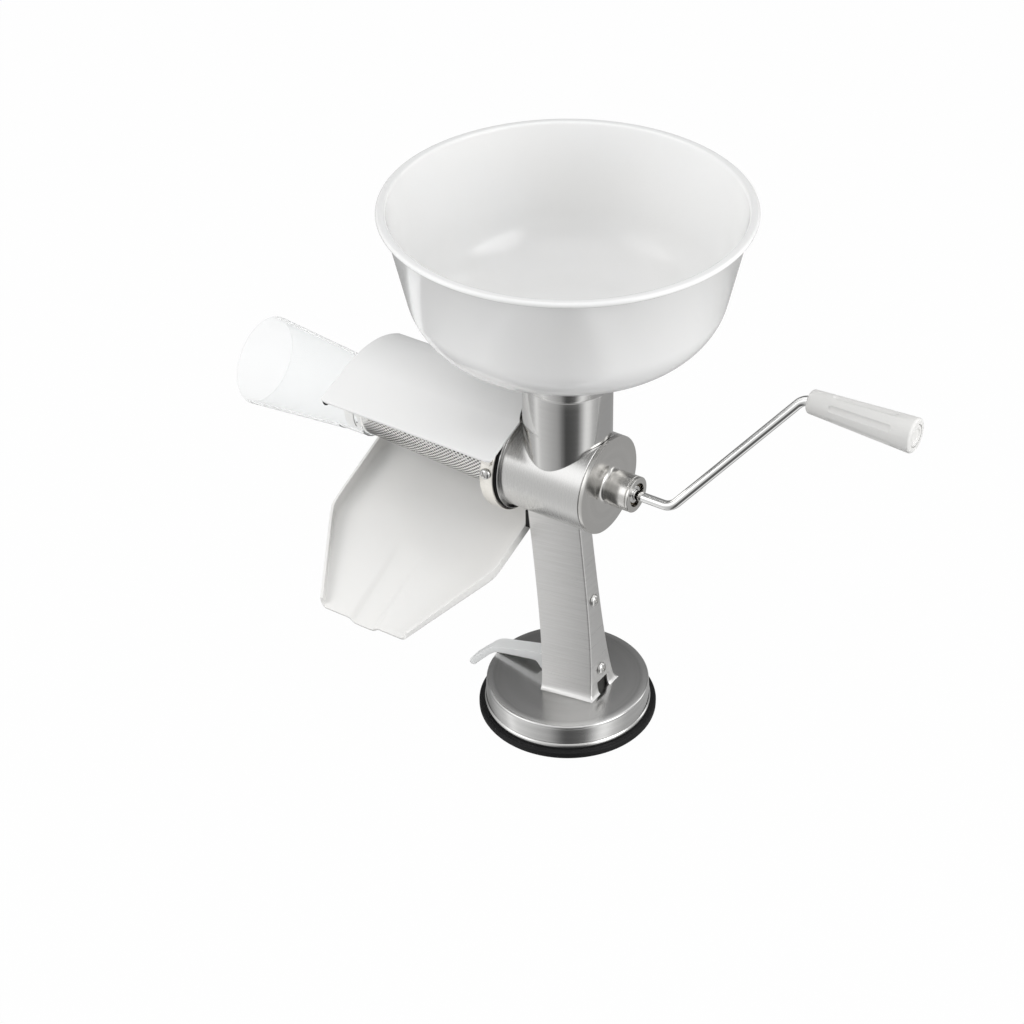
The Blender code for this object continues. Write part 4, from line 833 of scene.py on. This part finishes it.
for face in screen.data.polygons:
    for key in face.edge_keys:
        uses[key] = uses.get(key, 0) + 1
bpy.ops.object.mode_set(mode="EDIT")
print("net lines to dissolve", choose(screen, "EDGE", lambda line: line.use_seam and uses[line.key] == 2))
bpy.ops.mesh.dissolve_edges(use_verts=False)
print("hole places", choose(screen, "VERT", lambda point: net_end * mm + 0.001 < point.co.x
                            < cone_start * mm - 0.001))
bpy.ops.mesh.bevel(affect="VERTICES", offset=0.84 * mm, segments=2, profile=0.086)
bpy.ops.object.mode_set(mode="OBJECT")
hole_area = 0.8 * mm ** 2
edit(screen, "FACE")
print("faces in the holes", choose(screen, "FACE", lambda face: face.area < hole_area))
bpy.ops.mesh.delete(type="FACE")
bpy.ops.object.mode_set(mode="OBJECT")
tidy_shell(screen)
modify(screen, "SOLIDIFY", thickness=0.4 * mm, offset=-1.0, use_even_offset=True)
settle(screen, 40.0)
finish_as(screen, screen_steel, "stand", "screen", slot="screen_steel")

# %% [markdown]
# The screen ends in a plain tube, which carries the funnel. A bayonet slot in its side takes a pin of the funnel. At
# the other end a thin flange is held in the collar. Both are spun.

# %% Nose and flange of the screen
nose = turned_on_crank("screen_nose", [(24.22, -161.1), (24.0, -165.0), (24.0, -176.6), (23.6, -177.0),
                                       (23.2, -176.6), (23.2, -161.1)])
for x, degrees, radius in ([(-168.3, 180.0 + 3.5 * i, 0.8) for i in range(9)]
                           + [(-166.6, 187.0 + 3.5 * i, 1.5) for i in range(3)]
                           + [(-163.2, 202.5 + 1.5 * i, 0.7) for i in range(5)]):
    slot_turn = math.radians(degrees)
    slot_out = Vector((0.0, math.cos(slot_turn), math.sin(slot_turn)))
    combine(nose, cylinder("slot_hole", crank_line + side_x * (x * mm) + slot_out * 0.018,
                           crank_line + side_x * (x * mm) + slot_out * 0.030, radius * mm, 24))
settle(nose, 30.0)
finish_as(nose, screen_steel, "stand", "screen", slot="screen_steel")
flange = turned_on_crank("screen_flange",
                         [(28.2, -46.6), (28.98, -46.6), (28.95, -44.9), (29.4, -44.3), (34.2, -44.2), (34.5, -43.9),
                          (34.5, -43.0), (34.2, -42.7), (28.6, -42.7), (28.2, -43.1)], smooth=30.0)
finish_as(flange, screen_steel, "stand", "screen", slot="screen_steel")

# %% [markdown]
# ## Collar, gasket and small screws
#
# A nickel-plated collar clamps the screen to the barrel's flange over a dark gasket. Its plating is warmer than
# steel and a little uneven. Three small screws sit round its side, and the one on the chute's side shows from
# the front.

# %% Nickel plating
nickel, shader = new_finish("nickel_plate", (0.91, 0.885, 0.835), 0.22, 1.0)
speckle(nickel, shader, (120.0, 0.15, 0.32), (55.0, (0.92, 0.895, 0.84), (0.98, 0.955, 0.91)),
        (160.0, 0.12, 0.0002))

# %% Collar, gasket and screws
collar = turned_on_crank("screen_collar_turning",
                         [(34.8, -35.8), (40.9, -35.8), (41.3, -36.2), (41.3, -45.9), (41.0, -46.6), (40.2, -47.0),
                          (30.3, -47.0), (29.6, -46.7), (29.3, -46.0), (29.3, -44.5), (34.8, -44.5)],
                         steps=192, smooth=24.0)
finish_as(collar, nickel, "stand", "screen_collar", slot="nickel")
gasket = turned_on_crank("barrel_gasket_ring", [(34.2, -34.5), (39.4, -34.5), (39.6, -34.7), (39.6, -35.3),
                                                (39.4, -35.5), (34.2, -35.5)], steps=192, smooth=24.0)
finish_as(gasket, rubber, "stand", "barrel_gasket", slot="pad_rubber")
for i in range(3):
    turn = math.radians(173.0 + 110.0 * i)
    piece = screw(f"collar_screw_head_{i + 1}", 4.1, 2.6)
    spot = crank_line + Vector((-0.0414, 0.0413 * math.cos(turn), 0.0413 * math.sin(turn)))
    put(piece, Matrix.Translation(spot) @ Matrix.Rotation(turn - math.radians(90.0), 4, "X")
        @ Matrix.Rotation(0.6 + i, 4, "Z"))
    settle(piece, 40.0)
    finish_as(piece, chrome, "stand", f"collar_screw_{i + 1}", slot="nickel")

# %% [markdown]
# ## The clear waste funnel
#
# The funnel is a clear moulding: a short collar over the screen's nose and a cone that widens to its mouth. Clear
# plastic shows both of its surfaces, so the wall is modelled with its real thickness and rounded rims, and the
# shader lets the light through with a plastic's index of refraction.

# %% Clear plastic
clear, shader = new_finish("clear_plastic", (0.945, 0.95, 0.95), 0.05, Transmission_Weight=0.93, IOR=1.06)
speckle(clear, shader, (70.0, 0.03, 0.08), (25.0, (0.935, 0.942, 0.942), (0.96, 0.965, 0.965)),
        (45.0, 0.05, 0.0004))

# %% Funnel
funnel = turned_on_crank("waste_funnel_moulding",
                         [(24.6, -162.3), (24.9, -162.0), (26.1, -162.0), (26.4, -162.3), (26.5, -183.6),
                          (27.1, -184.4), (33.9, -266.6), (33.9, -267.6), (33.5, -268.0), (32.5, -268.0),
                          (32.1, -267.6), (32.0, -266.0), (25.3, -185.6), (24.6, -184.8)], steps=160, smooth=30.0)
finish_as(funnel, clear, "funnel", "waste_funnel", slot="clear_plastic")

# %% [markdown]
# ## The juice chute
#
# The chute hangs under the screen. Its floor slopes to the front, where its sides draw in to a spout. Sections
# across it are drawn as open lines, one behind another, and the Bridge tool stretches a sheet over them, as over
# the ribs of a boat. Solidify thickens the sheet inwards, and its rim is rounded.

# %% Chute sections
chute_white = white_plastic("chute_plastic", (0.81, 0.805, 0.79), 0.26)
chute_middle = -101.8
chute_front = -110.3
spout_end = -48.3
chute_back = 44.5
rim_height = 143.1
slope = 0.409
spout_slope = 0.532


def soft_least(a, b, width):
    """The smaller of two values, with the corner between them rounded."""
    return (a + b - math.sqrt((a - b) ** 2 + width ** 2)) / 2


def along_spout(y):
    """0 at the front edge and 1 where the sides stop drawing in."""
    return (y - chute_front) / 62.0


def chute_half(y):
    """Half the chute's width."""
    return soft_least(73.3, 38.3 + 35.0 * along_spout(y), 2.0)


def chute_rim(y):
    """The height of the chute's rim."""
    return rim_height + soft_least(slope * (y - spout_end), spout_slope * (y - spout_end), 1.5)


def chute_depth(y):
    """How far the floor lies under the rim."""
    if y < spout_end:
        return 7.6 + 4.4 * along_spout(y)
    return 12.0 + 2.3 * min(1.0 - y / spout_end, 1.0)


def chute_section(y, rim, floor, spout):
    """The outer line of the chute at one place, from the left rim over the floor to the right rim."""
    half = chute_half(y)
    fillet = min(5.0, max(rim - floor, 0.3) * 0.8)
    side = [(-half, rim), (-half + 0.3, (rim + floor + fillet) / 2), (-half + 0.6, floor + fillet)]
    for degrees in (15, 30, 45, 60, 75, 90):
        turn = math.radians(degrees)
        side.append((-half + 0.6 + fillet * (1 - math.cos(turn)), floor + fillet * (1 - math.sin(turn))))
    for share in (0.25, 0.5, 0.75):
        side.append((-half + 0.6 + fillet + (half - 14.1 - fillet) * share, floor))
    for share, depth in ((1.0, 0.0), (0.93, 0.06), (0.84, 0.3), (0.72, 0.68), (0.6, 0.9), (0.3, 1.0)):
        side.append((-13.5 * share, floor - spout * depth))
    row = side + [(0.0, floor - spout)] + [(-x, z) for x, z in reversed(side)]
    return [Vector(((chute_middle + x) * mm, y * mm, z * mm)) for x, z in row]


sections = []
turn_start = chute_back * 0.78
for i in range(46):
    y = chute_front + (turn_start - chute_front) * i / 45
    run_out = max(1.0 - along_spout(y), 0.0)
    sections.append(chute_section(y, chute_rim(y), chute_rim(y) - chute_depth(y), 3.2 * run_out ** 0.7))
floor = chute_rim(turn_start) - chute_depth(turn_start)
rise = chute_back - turn_start
for degrees in (12, 24, 36, 48, 60, 72, 84, 90):
    turn = math.radians(degrees)
    y = turn_start + rise * math.sin(turn)
    z = floor + slope * rise * math.sin(turn) + rise * (1 - math.cos(turn))
    sections.append(chute_section(y, max(chute_rim(y), z + 0.3), z, 0.0))
sections.append(chute_section(chute_back, 206.0, 205.7, 0.0))

# %% Bridge the sections
clear_selection()
chute = draw("juice_chute_moulding", sections[0])
for section in sections[1:]:
    bpy.ops.mesh.select_all(action="DESELECT")
    bpy.ops.mesh.primitive_plane_add(size=0.001, location=section[0])
    bpy.ops.mesh.merge(type="CENTER")
    for before, after in zip(section, section[1:]):
        bpy.ops.mesh.extrude_region_move(TRANSFORM_OT_translate={"value": after - before})
bpy.ops.mesh.select_mode(type="EDGE")
bpy.ops.mesh.select_all(action="SELECT")
bpy.ops.mesh.bridge_edge_loops()
bpy.ops.object.mode_set(mode="OBJECT")
tidy_shell(chute)
face_outwards(chute, -side_z)
modify(chute, "SOLIDIFY", thickness=2.0 * mm, offset=-1.0, use_even_offset=True)
round_edges(chute, 0.7, 3, 60.0)
finish_as(chute, chute_white, "stand", "juice_chute", slot="white_plastic")

# %% [markdown]
# ## The splash shield
#
# A curved plate stops the juice that sprays upwards. Its section is a slanted panel, a wide crest and a drop behind
# the screen, and it is the same all along, so the section is drawn once and extruded. Its corners are rounded, and
# a bite is cut where it meets the neck. The place where a label sits is left bare.

# %% Shield section
shield_white = white_plastic("shield_plastic", (0.845, 0.845, 0.84), 0.24)
shield_left = -171.5
shield_edge = (-57.5, 239.2)
shield_tilt = math.radians(18.4)
panel = 37.0


def shield_line():
    """The outer line from the near edge over the crest and down behind, in Y and Z."""
    y, z = shield_edge
    heading = shield_tilt
    points = [shield_edge]
    for share in (0.06, 0.15, 0.4, 0.7, 1.0):
        points.append((y + panel * share * math.cos(heading), z + panel * share * math.sin(heading)))
    y, z = points[-1]
    for radius, total, steps in ((75.0, math.radians(48.0), 20), (12.0, math.radians(60.4), 14)):
        middle = (y + radius * math.sin(heading), z - radius * math.cos(heading))
        for i in range(1, steps + 1):
            turn = heading - total * i / steps
            points.append((middle[0] - radius * math.sin(turn), middle[1] + radius * math.cos(turn)))
        heading -= total
        y, z = points[-1]
    for share in (0.3, 0.6, 0.85, 1.0):
        points.append((y, z + (206.3 - z) * share))
    return points


shield = draw("splash_shield_moulding", [Vector((shield_left, y, z)) * mm for y, z in shield_line()])
bpy.ops.mesh.select_all(action="SELECT")
bpy.ops.mesh.extrude_region_move(TRANSFORM_OT_translate={"value": (0.145, 0.0, 0.0)})
bpy.ops.object.mode_set(mode="OBJECT")
tidy_shell(shield)
face_outwards(shield, side_z)
edit(shield, "VERT")
print("corners", choose(shield, "VERT", lambda point: point.co.z < 0.24 and (point.co.y < -0.0574)))
bpy.ops.mesh.bevel(affect="VERTICES", offset=5.5 * mm, segments=8, profile=0.5)
bpy.ops.object.mode_set(mode="OBJECT")
modify(shield, "SOLIDIFY", thickness=1.8 * mm, offset=-1.0, use_even_offset=True)
combine(shield, cylinder("neck_room", (0.0, 0.0, 0.2), (0.0, 0.0, 0.34), 33.2 * mm, 192))
round_edges(shield, 0.55, 3, 50.0)
finish_as(shield, shield_white, "shield", "splash_shield", slot="white_plastic")

# %% [markdown]
# A small dark bumper sits under the shield's corner, and a bent metal hook on the collar holds the panel up. A
# rubber pad between the pillar and the chute's wall keeps the chute from rattling.

# %% Stud, hook and clip
stud = turned("shield_stud_head", [(0.0, 3.4), (1.1, 3.3), (1.9, 2.8), (2.2, 2.0), (2.2, 0.0), (0.0, 0.0)],
              ring=False, steps=48)
stud_back = 2.4
stud_y = shield_edge[0] + stud_back * math.cos(shield_tilt)
stud_z = shield_edge[1] + stud_back * math.sin(shield_tilt) - 1.7
put(stud, Matrix.Translation(Vector((shield_left + 3.3, stud_y, stud_z)) * mm)
    @ Matrix.Rotation(shield_tilt + math.pi, 4, "X"))
settle(stud, 40.0)
finish_as(stud, rubber, "shield", "shield_stud", slot="pad_rubber")

hook_line = bow((0.0, crank_height), 41.6, 163.0, 139.0, 10)
panel_slope = math.tan(shield_tilt)
panel_under = shield_edge[1] - shield_edge[0] * panel_slope - 2.1 * math.hypot(1.0, panel_slope)
tongue_y = hook_line[-1][0]
hook_line += [(y, panel_under + y * panel_slope) for y in (tongue_y, tongue_y - 1.4)]
hook_line += bow((0.0, crank_height), 43.0, 143.0, 163.0, 10)
hook = extruded("shield_hook_strip", [Vector((0.0, y, z)) * mm for y, z in hook_line], side_x * -0.0449,
                side_x * -0.0379)
round_edges(hook, 0.25, 2, 50.0)
finish_as(hook, nickel, "stand", "shield_hook", slot="nickel")
clip_low, clip_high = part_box("chute_clip")
clip = block("chute_clip_pad", (clip_high[0] - 0.0080, clip_low[1], 0.1565), (clip_high[0], clip_high[1], 0.1710))
round_edges(clip, 0.6, 3, 50.0)
finish_as(clip, rubber, "stand", "chute_clip", slot="pad_rubber")

# %% [markdown]
# ## The hopper bowl
#
# The bowl is spun as well: a rolled lip, steep walls, a round turn into the floor, and a spigot that sits
# in the neck. It is a glossy moulding, so its outline has many points at the lip and the turn, where highlights
# run.

# %% Bowl
bowl_white = white_plastic("bowl_plastic", (0.85, 0.85, 0.845), 0.16, 0.50, 0.005)
wall_lean = math.degrees(math.atan2(12.8, 58.2))
turn_radius = 47.3
turn_centre = (108.0 - turn_radius * math.cos(math.radians(wall_lean)),
               356.6 + turn_radius * math.sin(math.radians(wall_lean)))
turn_out = bow(turn_centre, turn_radius, -wall_lean, -78.6, 26)
turn_in = bow(turn_centre, turn_radius - 2.0, -78.6, -wall_lean, 26)
lip_line = [(118.8, 413.6), (119.1, 416.0)] + bow((121.1, 417.2), 1.8, 165.0, 90.0, 5) \
    + bow((123.8, 417.0), 2.0, 90.0, -58.0, 12) + [(124.2, 415.0), (122.2, 414.8), (121.2, 414.6), (120.7, 414.0)]
bowl = turned("hopper_bowl_moulding",
              lip_line + turn_out + [(33.2, 316.2), (32.3, 315.6), (29.6, 315.6), (29.6, 296.9), (29.2, 296.3),
                                     (28.2, 296.3), (27.8, 296.9), (27.8, 314.6), (28.4, 316.6), (29.8, 317.8)]
              + turn_in, steps=192)
settle(bowl, 30.0)
finish_as(bowl, bowl_white, "bowl", "hopper_bowl", slot="bowl_plastic")

# %% [markdown]
# ## What stays inside
#
# The auger, the bracket, the springs and the bearing hardly show, so their solids stay as they are and only get
# finishes. A solid is never moved or reshaped here, only its material slot changes.

# %% Finishes for the inner solids
# The auger gets a near-black colour: painted shade for the dark inside the screen, seen through its holes.
auger_painted_shade = white_plastic("auger_plastic", (0.06, 0.052, 0.046), 0.40)
plain_steel = tube_steel("inner_steel", (0.58, 0.575, 0.565), 0.30)
dark_steel, shader = new_finish("blackened_steel", (0.045, 0.043, 0.040), 0.45, 0.6)
speckle(dark_steel, shader, (300.0, 0.35, 0.55), (120.0, (0.030, 0.029, 0.027), (0.060, 0.058, 0.054)))
bronze, shader = new_finish("bushing_bronze", (0.34, 0.29, 0.22), 0.36, 1.0)
speckle(bronze, shader, (500.0, 0.26, 0.42), (200.0, (0.28, 0.24, 0.18), (0.40, 0.34, 0.26)))
inner = {
    auger_painted_shade: ("auger",),
    plain_steel: ("lever_pin", "pull_stem", "wear_washer", "release_spring", "drive_block",
                  "auger_spring", "grip_washer"),
    bronze: ("shaft_bushing",),
    rubber: ("shaft_seal",),
    dark_steel: ("lever_bracket",),
}
for look, names in inner.items():
    for name in names:
        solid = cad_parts[name]
        for slot in solid.material_slots:
            slot.material = look
    print(look.name, "on", names)

# %% [markdown]
# ## Floor, light and camera
#
# The machine stands on a plain white floor in soft studio light: one large softbox from the left, one from the
# right and one above in front. The floor is white to the camera and through the clear funnel, it still takes a
# shadow, and polished steel looks through it, because its own grey would darken every wall. The floor and the
# lights are stage, not part of the machine. The camera stands where the picture was taken, above and to the right.

# %% Floor
clear_selection()
bpy.ops.mesh.primitive_plane_add(size=14.0, location=(0.0, 0.0, 0.0))
floor = bpy.context.object
floor.name = "studio_floor"
floor_white, shader = new_finish("floor_white", (0.50, 0.50, 0.50), 0.6, Specular_IOR_Level=0.2)
rays = node(floor_white, "ShaderNodeLightPath").outputs
share = work_out(floor_white, "ShaderNodeMath", "MULTIPLY", directly_seen(floor_white, rays), 0.985)
glow = node(floor_white, "ShaderNodeEmission", Strength=1.0, Color=(1.0, 1.0, 1.0, 1.0))
see_through = node(floor_white, "ShaderNodeBsdfTransparent")
white_floor = blend_shaders(floor_white, share, shader, glow)
surface = blend_shaders(floor_white, rays["Is Glossy Ray"], white_floor, see_through)
feed(floor_white, floor_white.node_tree.nodes["Material Output"], Surface=surface.outputs[0])
floor.data.materials.append(floor_white)
print("floor", tuple(floor.dimensions))

# %% [markdown]
# Polished steel looks like what stands round it. A photographer puts white and black cards round a steel pot, so
# that its sides turn from light to dark. Here the world does that, for gloss alone: one ring of light and dark for
# the rays that go down and level, a second ring for those that go up, and a bright patch overhead. The directions
# are counted from the camera's, so the dark card stands beside the camera and the bright strips to its left and
# right. Two round bright patches are what glossy plastic and bent rods see of the softboxes. To the eye and
# through clear plastic the world stays white, and as a light it is even.

# %% Room
world = bpy.data.worlds.new("studio")
bpy.context.scene.world = world
world.use_nodes = True
world.node_tree.nodes.clear()
camera_side = math.radians(32.76)
low_cards = [(-180, 0.34), (-128, 0.24), (-105, 0.50), (-90, 0.62), (-79, 1.0), (-70, 0.74), (-50, 0.60),
             (-24, 0.42), (-14, 0.22), (-5, 0.075), (12, 0.105), (24, 0.15), (35, 0.62), (44, 1.0), (52, 0.95),
             (63, 0.62), (82, 0.42), (130, 0.40), (180, 0.42)]
high_cards = [(-180, 0.13), (-130, 0.20), (-95, 0.78), (-45, 0.78), (0, 0.45), (45, 0.80), (90, 0.55), (102, 0.50),
              (108, 1.60), (116, 1.60), (124, 0.24), (180, 0.20)]
direction = node(world, "ShaderNodeTexCoord").outputs["Generated"]
turned_round = node(world, "ShaderNodeVectorRotate", rotation_type="Z_AXIS", Vector=direction, Angle=-camera_side)
split = node(world, "ShaderNodeSeparateXYZ", Vector=turned_round.outputs[0])
to_camera = work_out(world, "ShaderNodeMath", "MULTIPLY", split.outputs["Y"], -1.0)
bearing = work_out(world, "ShaderNodeMath", "ARCTAN2", split.outputs["X"], to_camera)
round_share = ramp(world, bearing, 0.0, 1.0, -math.pi, math.pi)


def card_ring(cards):
    """A ramp of greys round the room, from the back over the left, the camera and the right to the back."""
    ring = node(world, "ShaderNodeValToRGB")
    stops = ring.color_ramp.elements
    for degrees, grey in cards[1:-1]:
        stops.new((degrees + 180.0) / 360.0)
    for stop, (degrees, grey) in zip(stops, cards):
        stop.position = (degrees + 180.0) / 360.0
        stop.color = (grey, grey, grey * 0.995, 1.0)
    world.node_tree.links.new(round_share, ring.inputs[0])
    return ring.outputs["Color"]


level = ramp(world, split.outputs["Z"], 0.0, 1.0, -0.15, 0.15)
cards = mix(world, level, card_ring(low_cards), card_ring(high_cards))
overhead = ramp(world, split.outputs["Z"], 0.0, 1.0, 0.65, 0.79)
cards = mix(world, overhead, cards, (0.95, 0.95, 0.95, 1.0))
for aim, grey in (((0.906, 0.004, 0.423), 2.8), ((-0.496, -0.737, 0.460), 1.5)):
    towards = work_out(world, "ShaderNodeVectorMath", "DOT_PRODUCT", direction, aim)
    cards = mix(world, ramp(world, towards, 0.0, 1.0, 0.920, 0.968), cards, (grey, grey, grey, 1.0))
for_gloss = node(world, "ShaderNodeBackground", Strength=1.0, Color=cards)
even = node(world, "ShaderNodeBackground", Color=(0.985, 0.99, 1.0, 1.0), Strength=0.68)
white = node(world, "ShaderNodeBackground", Color=(1.0, 1.0, 1.0, 1.0), Strength=1.0)
paths = node(world, "ShaderNodeLightPath").outputs
lit = blend_shaders(world, paths["Is Glossy Ray"], even, for_gloss)
room = blend_shaders(world, directly_seen(world, paths), lit, white)
node(world, "ShaderNodeOutputWorld", Surface=room.outputs[0])
print("cards round the machine", len(low_cards), "low and", len(high_cards), "high")


# %% Lamps
def softbox(name, place, aim, width, height, watts, colour=(1.0, 1.0, 1.0)):
    """A rectangular lamp at a place that faces a point."""
    clear_selection()
    bpy.ops.object.light_add(type="AREA", location=place)
    lamp = bpy.context.object
    lamp.name = name
    lamp.data.shape = "RECTANGLE"
    lamp.data.size = width
    lamp.data.size_y = height
    lamp.data.energy = watts
    lamp.data.color = colour
    lamp.visible_glossy = False
    lamp.rotation_euler = (Vector(aim) - Vector(place)).to_track_quat("-Z", "Y").to_euler()
    return lamp


middle = (-0.02, 0.0, 0.21)
softbox("left_softbox", (-1.3, -1.1, 0.8), middle, 0.9, 1.2, 14.0)
softbox("right_softbox", (1.55, 0.45, 0.65), middle, 0.6, 1.1, 15.0)
softbox("top_softbox", (0.3, -0.75, 1.8), middle, 1.2, 1.0, 6.5)

# %% Camera
clear_selection()
bpy.ops.object.camera_add(location=(0.8093, -1.2578, 1.2352),
                          rotation=(math.radians(54.66), 0.0, camera_side))
camera = bpy.context.object
camera.name = "catalogue_camera"
camera.data.lens = 91.1
camera.data.sensor_width = 36.0
camera.data.shift_x = -0.0543
camera.data.shift_y = -0.0014
camera.data.clip_start = 0.05
bpy.context.scene.camera = camera
bpy.context.scene.view_settings.view_transform = "Standard"
